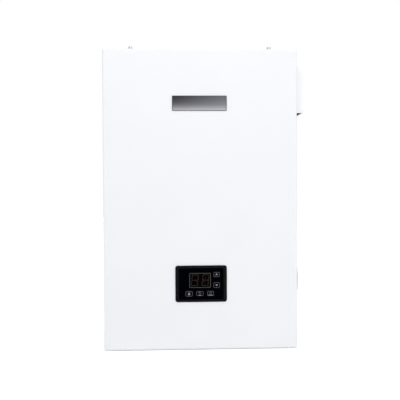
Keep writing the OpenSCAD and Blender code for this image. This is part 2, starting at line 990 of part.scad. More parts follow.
module console_bracket() {
    half = bezel_w / 2 - bezel_side;
    top = bezel_z + bezel_h / 2;
    color(zinc_grey) {
        difference() {
            block([-half, console_rear_y, deck_z], [half, console_rear_y + sheet_t, top]);
            block([-half + bracket_arm, console_rear_y - cut, deck_z + bracket_arm],
                [half - bracket_arm, console_rear_y + sheet_t + cut, top - bezel_h / 2]);
        }
        block([-half, console_rear_y, deck_z],
            [half, console_rear_y + bracket_foot, deck_z + sheet_t]);
    }
}

// Main switch with its rail, frame and flap

module breaker_body() {
    l = poles * pole_w;
    color([0.86, 0.87, 0.87])
    difference() {
        union() {
            translate([breaker_rear_x, breaker_y, breaker_z]) to_right()
                linear_extrude(breaker_d) square([l, breaker_h], center = true);
            translate([breaker_rear_x, breaker_y, breaker_z]) to_right()
                linear_extrude(nose_x - breaker_rear_x) square([l, nose_h], center = true);
        }
        translate([breaker_rear_x - cut, breaker_y, breaker_z]) to_right()
            linear_extrude(notch_d + cut) square([l + 2 * cut, rail_h + 2 * fit], center = true);
        for (i = [0 : poles - 1])
            translate([pivot_x, breaker_y + (i + 0.5) * pole_w - l / 2 - hub_w / 2 - fit, breaker_z])
                rotate([-90, 0, 0]) cylinder(r = hub_r + fit, h = hub_w + 2 * fit);
        for (i = [1 : 1 : poles - 1])
            translate([shoulder_x - breaker_d / 2, breaker_y + i * pole_w - l / 2 - fit / 2,
                breaker_z - breaker_h])
                cube([breaker_d, fit, 2 * breaker_h]);
    }
}

module breaker_lever() {
    l = poles * pole_w;
    color([0.12, 0.25, 0.55])
    translate([pivot_x, breaker_y, breaker_z]) rotate([0, -toggle_angle, 0]) {
        for (i = [0 : poles - 1])
            translate([0, (i + 0.5) * pole_w - l / 2 - hub_w / 2, 0]) {
                rotate([-90, 0, 0]) cylinder(r = hub_r, h = hub_w);
                translate([0, 0, -toggle_t / 2]) cube([toggle_l, hub_w, toggle_t]);
            }
        translate([toggle_l - tie_h, -l / 2 + rib_t / 2, -toggle_t / 2])
            cube([tie_h, l - rib_t, toggle_t]);
    }
}

module din_rail() {
    lip_x = breaker_rear_x + notch_d;
    web_x = lip_x - rail_d;
    hat_h = rail_h - 2 * rail_lip;
    color(steel_grey)
    translate([0, breaker_y - rail_l / 2, breaker_z]) {
        difference() {
            translate([web_x, 0, -hat_h / 2 - rail_t]) cube([rail_d, rail_l, hat_h + 2 * rail_t]);
            translate([web_x + rail_t, -cut, -hat_h / 2])
                cube([rail_d, rail_l + 2 * cut, hat_h]);
        }
        for (z = [-1, 1])
            translate([lip_x - rail_t, 0, z > 0 ? hat_h / 2 : -rail_h / 2])
                cube([rail_t, rail_l, rail_lip]);
    }
}

module breaker_bracket() {
    plate_x = breaker_rear_x + notch_d - rail_d;
    half = rail_l / 2 - frame_margin;
    color(zinc_grey) {
        block([plate_x - sheet_t, breaker_y - half, deck_z],
            [plate_x, breaker_y + half, breaker_z + rail_h / 2]);
        block([plate_x - bracket_foot, breaker_y - half, deck_z],
            [plate_x, breaker_y + half, deck_z + sheet_t]);
    }
}

module breaker_frame() {
    l = frame_l;
    color([0.8, 0.81, 0.82]) {
        difference() {
            translate([side_x, breaker_y, breaker_z]) to_right()
                linear_extrude(frame_t) round_rect(l, flap_h, frame_t);
            translate([side_x - cut, breaker_y, breaker_z]) to_right()
                linear_extrude(frame_t + 2 * cut)
                    square([poles * pole_w + 2 * fit, nose_h + 2 * fit], center = true);
        }
        for (y = [-1, 1])
            translate([0, breaker_y + (y > 0 ? l / 2 - lug_t : -l / 2), pin_z]) {
                translate([side_x, 0, -knuckle_r]) cube([pin_x - side_x, lug_t, 2 * knuckle_r]);
                translate([pin_x, 0, 0]) rotate([-90, 0, 0]) cylinder(r = knuckle_r, h = lug_t);
            }
        translate([pin_x, breaker_y - l / 2, pin_z]) rotate([-90, 0, 0]) cylinder(r = pin_r, h = l);
    }
}

module flap_outline(inset) {
    intersection() {
        translate([flap_edge + flap_rise - flap_arc_r, -flap_sag])
            circle(r = flap_arc_r - inset, $fn = 240);
        translate([inset > 0 ? -cut : 0, -flap_half + inset])
            square([flap_arc_r, pin_z - breaker_z + flap_half - 2 * inset]);
    }
}

module breaker_flap() {
    color([0.9, 0.9, 0.91])
    difference() {
        union() {
            difference() {
                translate([flap_x, breaker_y + flap_l / 2, breaker_z]) to_front()
                    linear_extrude(flap_l) flap_outline(0);
                translate([flap_x, breaker_y + flap_l / 2 - flap_t, breaker_z]) to_front()
                    linear_extrude(flap_l - 2 * flap_t) flap_outline(flap_t);
            }
            translate([pin_x, breaker_y - flap_l / 2, pin_z]) rotate([-90, 0, 0])
                cylinder(r = knuckle_r, h = flap_l);
        }
        translate([pin_x, breaker_y - flap_l / 2 - cut, pin_z]) rotate([-90, 0, 0])
            cylinder(r = pin_r + slide_fit, h = flap_l + 2 * cut);
    }
}

// Cable glands in the bottom panel

module gland(x, thread_r, bore_r) {
    across = 2 * thread_r + gland_rim;
    translate([x, gland_y, floor_z])
    difference() {
        union() {
            translate([0, 0, -gland_nut_h]) hex(across, gland_nut_h);
            translate([0, 0, -gland_nut_h - gland_dome_h])
                cylinder(r1 = thread_r - gland_taper, r2 = thread_r + gland_taper, h = gland_dome_h);
            cylinder(r = thread_r, h = sheet_t + 2 * gland_nut_h);
            translate([0, 0, sheet_t]) hex(across, gland_nut_h);
        }
        translate([0, 0, -gland_nut_h - gland_dome_h - cut])
            cylinder(r = bore_r, h = gland_dome_h + 3 * gland_nut_h + sheet_t + 2 * cut);
    }
}

module cable_glands() {
    color(black_plastic) {
        gland(supply_x, supply_thread_r, supply_r);
        gland(signal_x, signal_thread_r, signal_r);
    }
}

// Electrics

module electrics_plate() {
    color(zinc_grey) {
        block([plate_x0, plate_front_y, plate_z0], [plate_x1, plate_y, plate_z1]);
        block([plate_x1 - sheet_t, plate_front_y, plate_z0], [plate_x1, plate_y + lip_w, plate_z1]);
        for (z = [plate_z0 + pillar_inset, plate_z1 - pillar_inset])
            translate([plate_x0 + pillar_inset, rear_y, z]) to_front()
                cylinder(r = pillar_r, h = rear_y - plate_y);
        translate([terminal_x - 2 * margin, plate_front_y, terminal_z + terminal_h / 2])
            to_front() {
                hex(2 * stud_r + bolt_rim, stud_r);
                cylinder(r = stud_r, h = stud_l);
            }
    }
}

module power_board() {
    color([0.08, 0.3, 0.18]) {
        block([board_x, board_y - pcb_t, board_z],
            [board_x + board_w, board_y, board_z + board_h]);
        for (x = [-1, 1], z = [-1, 1])
            translate([board_x + board_w / 2 + x * (board_w / 2 - pillar_inset / 2), plate_front_y,
                board_z + board_h / 2 + z * (board_h / 2 - pillar_inset / 2)])
                to_front() cylinder(r = post_r, h = board_lift + pcb_t / 2);
        for (i = [0 : relays - 1])
            translate([board_x + plug_inset + i * relay_pitch_share * board_w,
                board_y - pcb_t - relay_d, board_z + relay_z_share * board_h])
                cube([relay_w, relay_d + pcb_t / 2, relay_h]);
        translate([board_x + plug_inset, board_y - pcb_t - coil_share[1] * board_w,
            board_z + coil_share[2] * board_h])
            cube([coil_share[0] * board_w, coil_share[1] * board_w + pcb_t / 2,
                coil_share[2] * board_h]);
        for (i = [0 : cans - 1])
            translate([board_x + board_w / 2 + can_r + i * can_pitch, board_y - pcb_t / 2,
                board_z + board_h / 2])
                to_front() cylinder(r = can_r, h = can_h + pcb_t / 2);
        for (z = [board_z + plug_inset, board_z + board_h - plug_inset - plug_h])
            block([board_x + 3 * plug_inset, board_y - pcb_t - plug_d, z],
                [board_x + board_w - 3 * plug_inset, board_y - pcb_t / 2, z + plug_h]);
    }
}

module heat_sink() {
    pitch = (sink_w - fin_t) / (fins - 1);
    color([0.8, 0.81, 0.83]) {
        block([sink_x, plate_front_y - sink_base, sink_z],
            [sink_x + sink_w, plate_front_y, sink_z + sink_h]);
        for (i = [0 : fins - 1])
            translate([sink_x + i * pitch, plate_front_y - sink_base - fin_h, sink_z + sink_foot])
                cube([fin_t, fin_h + cut, sink_h - sink_foot]);
    }
}

module triac_modules() {
    w = (sink_w - (triacs + 1) * triac_gap) / triacs;
    color([0.13, 0.13, 0.14])
    for (i = [0 : triacs - 1])
        translate([sink_x + triac_gap + i * (w + triac_gap),
            plate_front_y - sink_base - triac_d, sink_z + triac_gap]) {
            cube([w, triac_d, sink_foot - 2 * triac_gap]);
            for (z = [0.25, 0.75])
                translate([w / 2, 0, z * (sink_foot - 2 * triac_gap)])
                    to_front() cylinder(r = triac_gap, h = triac_gap);
        }
}

module contactor() {
    base = contactor_step_share * contactor_d;
    side = (1 - contactor_face_share) / 2 * contactor_h;
    mid_x = contactor_x + contactor_w / 2;
    mid_z = contactor_z + contactor_h / 2;
    color([0.22, 0.23, 0.25])
    difference() {
        union() {
            block([contactor_x, plate_front_y - base, contactor_z],
                [contactor_x + contactor_w, plate_front_y, contactor_z + contactor_h]);
            block([contactor_x, contactor_y, contactor_z + side],
                [contactor_x + contactor_w, plate_front_y, contactor_z + contactor_h - side]);
            for (s = screws_share, z = [side / 2, contactor_h - side / 2])
                translate([contactor_x + s * contactor_w, plate_front_y - base, contactor_z + z])
                    to_front() cylinder(r = post_r, h = post_r);
        }
        block([mid_x - plunger_w / 2 - fit, contactor_y - cut, mid_z - plunger_h / 2 - fit],
            [mid_x + plunger_w / 2 + fit, contactor_y + plunger_l, mid_z + plunger_h / 2 + fit]);
    }
}

module contactor_plunger() {
    mid_x = contactor_x + contactor_w / 2;
    mid_z = contactor_z + contactor_h / 2;
    color([0.75, 0.1, 0.08])
    block([mid_x - plunger_w / 2, contactor_y - plunger_out / 2, mid_z - plunger_h / 2],
        [mid_x + plunger_w / 2, contactor_y + plunger_l - plunger_out - fit, mid_z + plunger_h / 2]);
}

module terminal_block() {
    l = terminals * terminal_w;
    color([0.9, 0.9, 0.88]) {
        block([terminal_x, plate_front_y - terminal_d, terminal_z],
            [terminal_x + l, plate_front_y, terminal_z + terminal_h]);
        for (i = [0 : terminals])
            translate([terminal_x + i * (l - barrier_t) / terminals,
                plate_front_y - terminal_d - barrier_rise, terminal_z])
                cube([barrier_t, barrier_rise + cut, terminal_h]);
        for (i = [0 : terminals - 1], z = [0.25, 0.75])
            translate([terminal_x + (i + 0.5) * l / terminals, plate_front_y - terminal_d,
                terminal_z + z * terminal_h])
                to_front() cylinder(r = terminal_w / 4, h = barrier_rise / 2);
    }
}

module overheat_thermostat() {
    color([0.16, 0.16, 0.17])
    difference() {
        union() {
            translate([stat_x, plate_front_y, stat_z]) to_front() {
                linear_extrude(stat_d) round_rect(stat_w, stat_w, post_r);
                cylinder(r = stat_nose_r, h = stat_d + stat_nose_h);
            }
        }
        translate([stat_x, plate_front_y - stat_d - stat_nose_h + reset_l, stat_z]) to_front()
            cylinder(r = reset_r + slide_fit, h = reset_l + cut);
    }
}

module reset_button() {
    color([0.8, 0.12, 0.1])
    translate([stat_x, plate_front_y - stat_d - stat_nose_h - reset_out, stat_z])
        rotate([-90, 0, 0])
            cylinder(r = reset_r, h = reset_l + reset_out - reset_travel - fit);
}

// Heater tank with its elements

module dome_profile(r, low, high, dome) {
    polygon(concat(
        [[0, low]],
        [for (a = [0 : 6 : 90]) [r * sin(a), low + dome * (1 - cos(a))]],
        [for (a = [90 : -6 : 0]) [r * sin(a), high - dome * (1 - cos(a))]],
        [[0, high]]
    ));
}

module heater_tank() {
    color([0.72, 0.73, 0.74])
    translate([tank_x, hyd_y, 0])
    difference() {
        union() {
            rotate_extrude() dome_profile(tank_r, tank_z, tank_top_z, tank_dome);
            translate([0, 0, tank_top_z - tank_dome / 2])
                cylinder(r = neck_r + tank_t, h = tank_dome / 2 + neck_h);
            translate([0, 0, tank_top_z + neck_h - neck_flange_t])
                cylinder(r = neck_flange_r, h = neck_flange_t);
            translate([0, 0, pump_top_z]) cylinder(r = nozzle_r, h = nozzle_l + tank_dome);
            translate([0, 0, pump_top_z]) cylinder(r = collar_r, h = collar_t);
            translate([0, 0, outlet_z]) rotate([0, 90, 0])
                cylinder(r = outlet_r, h = tank_r + outlet_l);
        }
        rotate_extrude()
            dome_profile(tank_r - tank_t, tank_z + tank_t, tank_top_z - tank_t, tank_dome);
        translate([0, 0, tank_top_z - tank_dome]) cylinder(r = neck_r, h = tank_dome + neck_h + cut);
        translate([0, 0, pump_top_z - cut])
            cylinder(r = nozzle_bore_r, h = nozzle_l + tank_dome + 2 * cut);
        translate([0, 0, outlet_z]) rotate([0, 90, 0])
            cylinder(r = outlet_r - 2 * pipe_t, h = tank_r + outlet_l + cut);
    }
}

module tank_brackets() {
    color(zinc_grey)
    for (s = tank_bands_share)
        translate([tank_x, 0, tank_z + s * tank_h]) {
            difference() {
                block([-saddle_w / 2, hyd_y + tank_r / 2, 0], [saddle_w / 2, rear_y, band_w]);
                translate([0, hyd_y, -cut]) cylinder(r = tank_r + band_t + fit, h = band_w + 2 * cut);
                block([-saddle_w / 2 + sheet_t, hyd_y, -cut],
                    [saddle_w / 2 - sheet_t, rear_y - sheet_t, band_w + cut]);
            }
            translate([0, hyd_y, 0]) ring(tank_r + band_t + fit, tank_r, band_w);
        }
}

module element_flange() {
    color(brass_yellow)
    translate([tank_x, hyd_y, flange_z]) {
        difference() {
            cylinder(r = neck_flange_r, h = flange_t);
            for (i = [0 : elements - 1], side = [-1, 1])
                hairpin_place(i, side) translate([0, 0, -cut])
                    cylinder(r = element_r + slide_fit, h = flange_t + 2 * cut);
        }
        for (i = [0 : bolts - 1])
            rotate([0, 0, i * 360 / bolts]) translate([bolt_pcd_r, 0, flange_t])
                hex(2 * bolt_r + bolt_rim, 2 * bolt_r);
    }
}

module hairpin_place(i, side) {
    a = 360 * i / elements;
    half = 90 / elements;
    rotate([0, 0, a + side * half]) translate([element_pcd_r, 0, 0]) children();
}

module heating_elements() {
    half = 90 / elements;
    reach = element_pcd_r * cos(half);
    bend_at = element_pcd_r * sin(half);
    color([0.45, 0.46, 0.47])
    translate([tank_x, hyd_y, flange_z])
    for (i = [0 : elements - 1])
        rotate([0, 0, 360 * i / elements]) translate([reach, 0, 0]) {
            for (y = [-1, 1]) translate([0, y * bend_at, -element_l]) {
                cylinder(r = element_r, h = element_l + flange_t + insulator_h);
                cylinder(r = terminal_pin_r, h = element_l + flange_t + terminal_pin_l);
            }
            translate([0, 0, -element_l]) rotate([-90, 0, 90])
                rotate_extrude(angle = 180) translate([bend_at, 0]) circle(r = element_r);
        }
}

// Flow side: tee, air vent, pipe and flow switch

module outlet_tee() {
    neck = pipe_x - tank_x - tank_r - outlet_l;
    color(brass_yellow)
    translate([pipe_x, hyd_y, outlet_z])
    difference() {
        union() {
            translate([0, 0, -tee_down]) cylinder(r = outlet_r + pipe_t, h = tee_down + tee_up);
            translate([-neck, 0, 0]) rotate([0, 90, 0]) cylinder(r = outlet_r, h = neck);
        }
        translate([0, 0, -tee_down - cut])
            cylinder(r = pipe_r - pipe_t, h = tee_down + tee_up - 2 * pipe_t + cut);
        translate([-neck - cut, 0, 0]) rotate([0, 90, 0])
            cylinder(r = outlet_r - 2 * pipe_t, h = neck + cut);
    }
}

module air_vent() {
    color(brass_yellow)
    translate([pipe_x, hyd_y, outlet_z + tee_up]) {
        hex(2 * outlet_r, vent_cap_h);
        translate([0, 0, vent_cap_h]) cylinder(r = vent_r, h = vent_h);
        translate([0, 0, vent_cap_h + vent_h])
            cylinder(r1 = vent_r, r2 = vent_cap_r, h = vent_cap_h / 2);
        translate([0, 0, vent_cap_h * 1.5 + vent_h]) cylinder(r = vent_cap_r, h = vent_cap_h);
    }
}

module flow_pipe() {
    color(copper_red)
    translate([pipe_x, hyd_y, pipe_bottom_z])
        ring(pipe_r, pipe_r - pipe_t, pipe_top_z - pipe_bottom_z);
}

module flow_switch() {
    box_x = switch_r - switch_sink;
    color(brass_yellow)
    translate([pipe_x, hyd_y, 0])
    difference() {
        union() {
            translate([0, 0, floor_z - stub_l]) cylinder(r = stub_r, h = stub_top_z - floor_z + stub_l);
            translate([0, 0, deck_z]) hex(2 * stub_r + lock_nut_rim, lock_nut_h);
            translate([0, 0, floor_z - lock_nut_h]) hex(2 * stub_r + lock_nut_rim, lock_nut_h);
            translate([0, 0, stub_top_z]) cylinder(r = switch_r, h = switch_body_h);
            translate([box_x, -switch_box[1] / 2, stub_top_z + (switch_body_h - switch_box[2]) / 2])
                cube(switch_box);
        }
        translate([0, 0, floor_z - stub_l - cut])
            cylinder(r = stub_bore_r, h = pipe_bottom_z - floor_z + stub_l + 2 * cut);
    }
}

// Return side: manifold, pump and union nuts

module return_manifold() {
    color(brass_yellow)
    translate([tank_x, hyd_y, 0])
    difference() {
        union() {
            translate([0, 0, floor_z - stub_l]) cylinder(r = stub_r, h = union_z - floor_z + stub_l);
            translate([0, 0, deck_z]) hex(2 * stub_r + lock_nut_rim, lock_nut_h);
            translate([0, 0, floor_z - lock_nut_h]) hex(2 * stub_r + lock_nut_rim, lock_nut_h);
            translate([0, 0, manifold_z]) cylinder(r = manifold_r, h = 2 * (arm_z - manifold_z));
            translate([0, 0, union_z - collar_t]) cylinder(r = collar_r, h = collar_t);
            translate([0, 0, arm_z]) to_front() cylinder(r = arm_r, h = arm_front);
            translate([0, 0, arm_z]) rotate([-90, 0, 0]) cylinder(r = arm_r, h = arm_back);
            translate([0, 0, arm_z]) rotate([0, 90, 0]) cylinder(r = arm_r, h = arm_side);
        }
        translate([0, 0, floor_z - stub_l - cut])
            cylinder(r = stub_bore_r, h = union_z - floor_z + stub_l + 2 * cut);
        translate([0, 0, arm_z]) to_front() cylinder(r = arm_r / 2, h = arm_front + cut);
        translate([0, 0, arm_z]) rotate([-90, 0, 0])
            cylinder(r = hose_bore_r, h = arm_back + cut);
    }
}

module temperature_sensors() {
    color([0.75, 0.62, 0.32]) {
        translate([pipe_x, hyd_y, pipe_top_z - 3 * clip_w]) {
            ring(pipe_r + clip_t, pipe_r, clip_w);
            translate([0, -pipe_r - clip_t / 2, clip_w / 2]) to_front()
                cylinder(r = clip_w / 3, h = probe_l);
        }
        translate([tank_x + arm_side, hyd_y, arm_z]) rotate([0, 90, 0]) {
            hex(2 * arm_r, clip_w / 2);
            cylinder(r = clip_w / 3, h = probe_l);
        }
    }
}

module union_nut() {
    difference() {
        hex(nut_across, union_nut_h, union_sides);
        translate([0, 0, lip_h]) cylinder(r = thread_r + slide_fit, h = union_nut_h);
        translate([0, 0, -cut]) cylinder(r = manifold_r + fit, h = union_nut_h);
    }
}

module union_nuts() {
    color(brass_yellow) {
        translate([tank_x, hyd_y, union_z - collar_t - lip_h]) union_nut();
        translate([tank_x, hyd_y, pump_top_z + collar_t + lip_h]) mirror([0, 0, 1]) union_nut();
    }
}

module volute_outline(extra) {
    polygon([for (a = [0 : 10 : 350])
        let(r = volute_min_r + extra + volute_grow * a / 360) [r * cos(a - 90), r * sin(a - 90)]]);
}

module pump_volute() {
    color([0.2, 0.21, 0.23])
    translate([tank_x, hyd_y, pump_z])
    difference() {
        union() {
            translate([0, volute_back, 0]) to_front()
                linear_extrude(volute_back + volute_front) volute_outline(0);
            translate([0, 0, -pump_l / 2]) cylinder(r = thread_r, h = thread_l);
            translate([0, 0, pump_l / 2 - thread_l]) cylinder(r = thread_r, h = thread_l);
            translate([0, 0, -pump_l / 2]) cylinder(r = 0.8 * thread_r, h = pump_l);
        }
        translate([0, chamber_y, 0]) to_front()
            cylinder(r = impeller_r + chamber_gap, h = chamber_t);
        translate([0, chamber_y, 0]) to_front()
            cylinder(r = shaft_r + chamber_gap, h = volute_front + chamber_y + cut);
        translate([0, 0, -pump_l / 2 - cut]) cylinder(r = stub_bore_r, h = pump_l + 2 * cut);
    }
}

module pump_motor() {
    color([0.35, 0.37, 0.4])
    difference() {
        union() {
            translate([tank_x, motor_y, pump_z]) to_front() {
                cylinder(r = motor_r + motor_rim, h = motor_flange_t);
                cylinder(r = motor_r - motor_core, h = motor_l);
                cylinder(r = motor_r / 2, h = motor_l + motor_core);
                for (i = [0 : motor_fins - 1])
                    translate([0, 0, motor_flange_t + (i + 0.5) * (motor_l - motor_flange_t) / motor_fins])
                        cylinder(r = motor_r, h = fin_ring_t);
            }
            block([tank_x - box_w / 2, box_y - box_d, pump_z + motor_r - 2 * motor_core],
                [tank_x + box_w / 2, box_y, pump_z + motor_r + box_h]);
        }
        translate([tank_x, motor_y + cut, pump_z]) to_front()
            cylinder(r = shaft_r + slide_fit, h = shaft_l + cut);
        translate([tank_x, box_y - box_d + knob_shaft_l + fit, knob_z]) to_front()
            cylinder(r = knob_shaft_r + slide_fit, h = knob_shaft_l + fit + cut);
    }
}

module pump_speed_knob() {
    color([0.85, 0.2, 0.12])
    translate([tank_x, box_y - box_d - fit, knob_z]) {
        to_front() cylinder(r = knob_r, h = knob_h / 2);
        block([-knob_r / 4, -knob_h, -knob_r * 0.9], [knob_r / 4, 0, knob_r * 0.9]);
        rotate([-90, 0, 0]) cylinder(r = knob_shaft_r, h = knob_shaft_l);
    }
}

module vane() {
    function edge(step) = [for (k = [0 : vane_steps])
        let(r = impeller_r * (vane_share[0] + (vane_share[1] - vane_share[0]) * k / vane_steps),
            a = vane_sweep * k / vane_steps + step / r * 180 / PI) r * [cos(a), sin(a)]];
    first = edge(0);
    second = edge(shroud_t);
    linear_extrude(impeller_t)
        polygon(concat(first, [for (k = [vane_steps : -1 : 0]) second[k]]));
}

module pump_impeller() {
    back_y = chamber_y - (chamber_t - impeller_t) / 2;
    color([0.82, 0.83, 0.84])
    translate([tank_x, hyd_y + back_y, pump_z]) to_front() {
        cylinder(r = impeller_r, h = shroud_t);
        cylinder(r = shaft_r * 2, h = impeller_t);
        cylinder(r = shaft_r, h = back_y + volute_front + shaft_l - fit);
        for (i = [0 : vanes - 1]) rotate([0, 0, i * 360 / vanes]) vane();
    }
}

// Expansion vessel with its hose

module expansion_vessel() {
    shell_r = vessel_r - seam_w;
    color([0.75, 0.12, 0.1])
    translate([vessel_x, rear_y, vessel_z])
    difference() {
        union() {
            to_front() rotate_extrude() dome_profile(shell_r, 0, vessel_d, vessel_dome);
            translate([0, seam_t - vessel_d / 2, 0]) to_front() cylinder(r = vessel_r, h = 2 * seam_t);
            translate([0, -vessel_d / 2, -vessel_r - nipple_l])
                cylinder(r = nipple_r, h = nipple_l + seam_w + vessel_t);
        }
        to_front() rotate_extrude()
            dome_profile(shell_r - vessel_t, vessel_t, vessel_d - vessel_t, vessel_dome);
        translate([0, -vessel_d / 2, -vessel_r - nipple_l - cut])
            cylinder(r = hose_bore_r, h = nipple_l + cut);
    }
}

module vessel_hose() {
    start = [tank_x, hyd_y + arm_back, arm_z];
    goal = [vessel_x, rear_y - vessel_d / 2, vessel_z - vessel_r - nipple_l];
    color(steel_grey)
        route_tube(concat([for (p = hose_start) start + p], [for (p = hose_goal) goal + p]),
            hose_r, hose_sides, route_steps);
}

// Safety valve on the front arm of the manifold

module safety_valve() {
    color(brass_yellow)
    difference() {
        union() {
            translate([tank_x, valve_y, arm_z]) to_front() {
                hex(2 * (valve_r + valve_rim), valve_hex_l);
                cylinder(r = valve_r, h = valve_l);
            }
            translate([tank_x, drain_y, floor_z - stub_l]) {
                cylinder(r = drain_r, h = deck_z - floor_z + stub_l + lock_nut_h);
                translate([0, 0, stub_l - lock_nut_h]) hex(2 * drain_r + lock_nut_rim, lock_nut_h);
            }
            translate([tank_x, drain_y, deck_z]) {
                hex(2 * drain_r + lock_nut_rim, lock_nut_h);
                cylinder(r = drain_r + valve_rim, h = arm_z - deck_z);
            }
        }
        translate([tank_x, drain_y, floor_z - stub_l - cut])
            cylinder(r = drain_r - drain_wall, h = arm_z - floor_z + stub_l);
        translate([tank_x, valve_y - valve_l + dial_h, arm_z]) to_front()
            cylinder(r = dial_shaft_r + slide_fit, h = dial_h + cut);
    }
}

module valve_knob() {
    color([0.8, 0.08, 0.06])
    translate([tank_x, valve_y - valve_l - fit, arm_z]) {
        to_front() difference() {
            cylinder(r = dial_r, h = dial_h);
            for (i = [0 : lobes - 1])
                rotate([0, 0, i * 360 / lobes]) translate([dial_r + lobe_r / 2, 0, -cut])
                    cylinder(r = lobe_r, h = dial_h + 2 * cut);
        }
        rotate([-90, 0, 0]) cylinder(r = dial_shaft_r, h = dial_h - fit);
    }
}

// Pressure gauge in the bottom panel

module pressure_gauge() {
    color([0.15, 0.15, 0.16])
    translate([gauge_x, gauge_y, floor_z])
    difference() {
        union() {
            cylinder(r = gauge_r, h = gauge_h);
            translate([0, 0, -gauge_rim_t]) cylinder(r = gauge_r + gauge_rim_w, h = gauge_rim_t);
            translate([0, 0, gauge_h]) cylinder(r = hose_r, h = 2 * hose_r);
        }
        translate([0, 0, -gauge_rim_t - cut]) cylinder(r = gauge_r - gauge_wall, h = dial_depth + gauge_rim_t);
        translate([0, 0, -gauge_rim_t - cut])
            cylinder(r = needle_r + slide_fit, h = dial_depth + gauge_rim_t + 2 * dial_depth);
    }
    color(copper_red)
        route_tube(concat([for (p = capillary_start) [tank_x + valve_r, drain_y, arm_z] + p],
            [for (p = capillary_goal) [gauge_x, gauge_y, floor_z + gauge_h + 2 * hose_r] + p]),
            capillary_r, wire_sides, route_steps);
}

module gauge_needle() {
    z = floor_z + dial_depth - cut - fit;
    color([0.8, 0.1, 0.08])
    translate([gauge_x, gauge_y, z]) {
        translate([0, 0, -hub_h]) cylinder(r = 2 * needle_r, h = hub_h);
        cylinder(r = needle_r, h = dial_depth);
        rotate([0, 0, needle_rest]) translate([-needle_w / 2, -hub_h, -hub_h / 2])
            cube([needle_w, gauge_r - gauge_wall, needle_t]);
    }
}

module wire(points) {
    route_tube(points, wire_r, wire_sides, route_steps);
}

module supply_wires() {
    for (i = [0 : poles - 1]) {
        from = [breaker_rear_x + 0.6 * breaker_d, breaker_y + (i + 0.5 - poles / 2) * pole_w,
            breaker_z + breaker_h / 2];
        to = [terminal_x + (i + 1.5) * terminal_w, plate_front_y - terminal_d / 2, terminal_z];
        wire([from, from + [0, 0, lead_l], (from + to) / 2 + [0, 0, lead_l / 4],
            to - [0, 0, lead_l], to]);
    }
}

module phase_wires() {
    for (i = [0 : 2]) {
        from = [terminal_x + (i + 1.5) * terminal_w, plate_front_y - terminal_d / 2,
            terminal_z + terminal_h];
        to = [contactor_x + screws_share[i] * contactor_w,
            plate_front_y - contactor_step_share * contactor_d / 2, contactor_z];
        rise = lead_l + i * wire_gap;
        wire([from, from + [0, 0, rise / 2], from + [-rise / 2, 0, rise],
            [to[0] + rise / 2, to[1], from[2] + rise], [to[0], to[1], from[2] + 1.5 * rise],
            to - [0, 0, lead_l], to]);
    }
}

function triac_x(i) =
    sink_x + triac_gap + (i + 0.5) * (sink_w - triac_gap) / triacs - triac_gap / 2;
function triac_z(share) = sink_z + triac_gap + share * (sink_foot - 2 * triac_gap);

module load_wires() {
    post_y = plate_front_y - sink_base - triac_d - triac_gap;
    for (i = [0 : triacs - 1]) {
        from = [contactor_x + screws_share[i] * contactor_w,
            plate_front_y - contactor_step_share * contactor_d / 2, contactor_z + contactor_h];
        to = [triac_x(i), post_y, triac_z(0.25)];
        low = (triacs - 1 - i) * wire_gap;
        wire([from, from + [0, 0, lead_end],
            from + [lead_l / 2, -lead_l - low, wire_gap - low / 4],
            [to[0] - lead_l - low, to[1] - lead_l - low, to[2] + (lead_l - low) / 2],
            to - [lead_out, lead_l / 2 + low, 0], to - [0, lead_end, 0], to]);
    }
}

module element_wires() {
    post_y = plate_front_y - sink_base - triac_d - triac_gap;
    ends_z = flange_z + flange_t + terminal_pin_l;
    for (i = [0 : elements - 1]) {
        a = 360 * ((elements + 1 - i) % elements) / elements - 90 / elements;
        from = [triac_x(i % triacs), post_y, triac_z(0.75)];
        to = [tank_x + element_pcd_r * cos(a), hyd_y + element_pcd_r * sin(a), ends_z];
        step = i * wire_gap;
        wire([from, from - [0, lead_end, 0],
            from - [lead_l / 2 + step, 2 * lead_l + step, -lead_l / 2],
            [board_x + board_w / 2, board_y - 3 * lead_l - step, board_z + board_h / 2 + step],
            [plate_x0 - lead_l, board_y - 2.4 * lead_l - step, board_z + board_h + step],
            [pipe_x - step, hyd_y - 2 * lead_l - step, ends_z + lead_l],
            to + [lead_l / 2, -step / 2, lead_l - step / 2], to + [0, 0, lead_end], to]);
    }
}

module control_wires() {
    plug_y = board_y - pcb_t - plug_d / 2;
    plug_z = board_z + plug_inset;
    starts = [
        [[tank_x + box_w / 2, box_y - box_d / 2, knob_z], [1, 0, 0]],
        [[pipe_x + switch_r - switch_sink + switch_box[0] / 2, hyd_y,
            stub_top_z + (switch_body_h + switch_box[2]) / 2], [0, 0, 1]],
        [[bezel_side, console_rear_y, bezel_z - key_w], [0, 1, 0]]
    ];
    for (i = [0 : 2]) {
        from = starts[i][0];
        way = starts[i][1];
        x = plate_x0 + wire_gap / 2 + i * wire_gap;
        to = [board_x + 3 * plug_inset + (i + 0.5) * wire_gap, plug_y, plug_z];
        wire([from, from + lead_l * way,
            [x - 2 * (2 - i) * lead_out, plug_y - 2 * lead_l + i * wire_gap, plate_z0 - lead_l],
            [x, plug_y - wire_gap, plate_z0 + lead_l], [x, plug_y, contactor_z],
            [x, plug_y - 2 * i * lead_out, contactor_z + contactor_h - lead_l / 2],
            to - [0, 0, lead_end], to]);
    }
}

module wiring() {
    color([0.75, 0.1, 0.08]) supply_wires();
    color([0.12, 0.12, 0.13]) phase_wires();
    color([0.12, 0.2, 0.5]) load_wires();
    color([0.8, 0.8, 0.78]) element_wires();
    color([0.2, 0.2, 0.21]) control_wires();
}

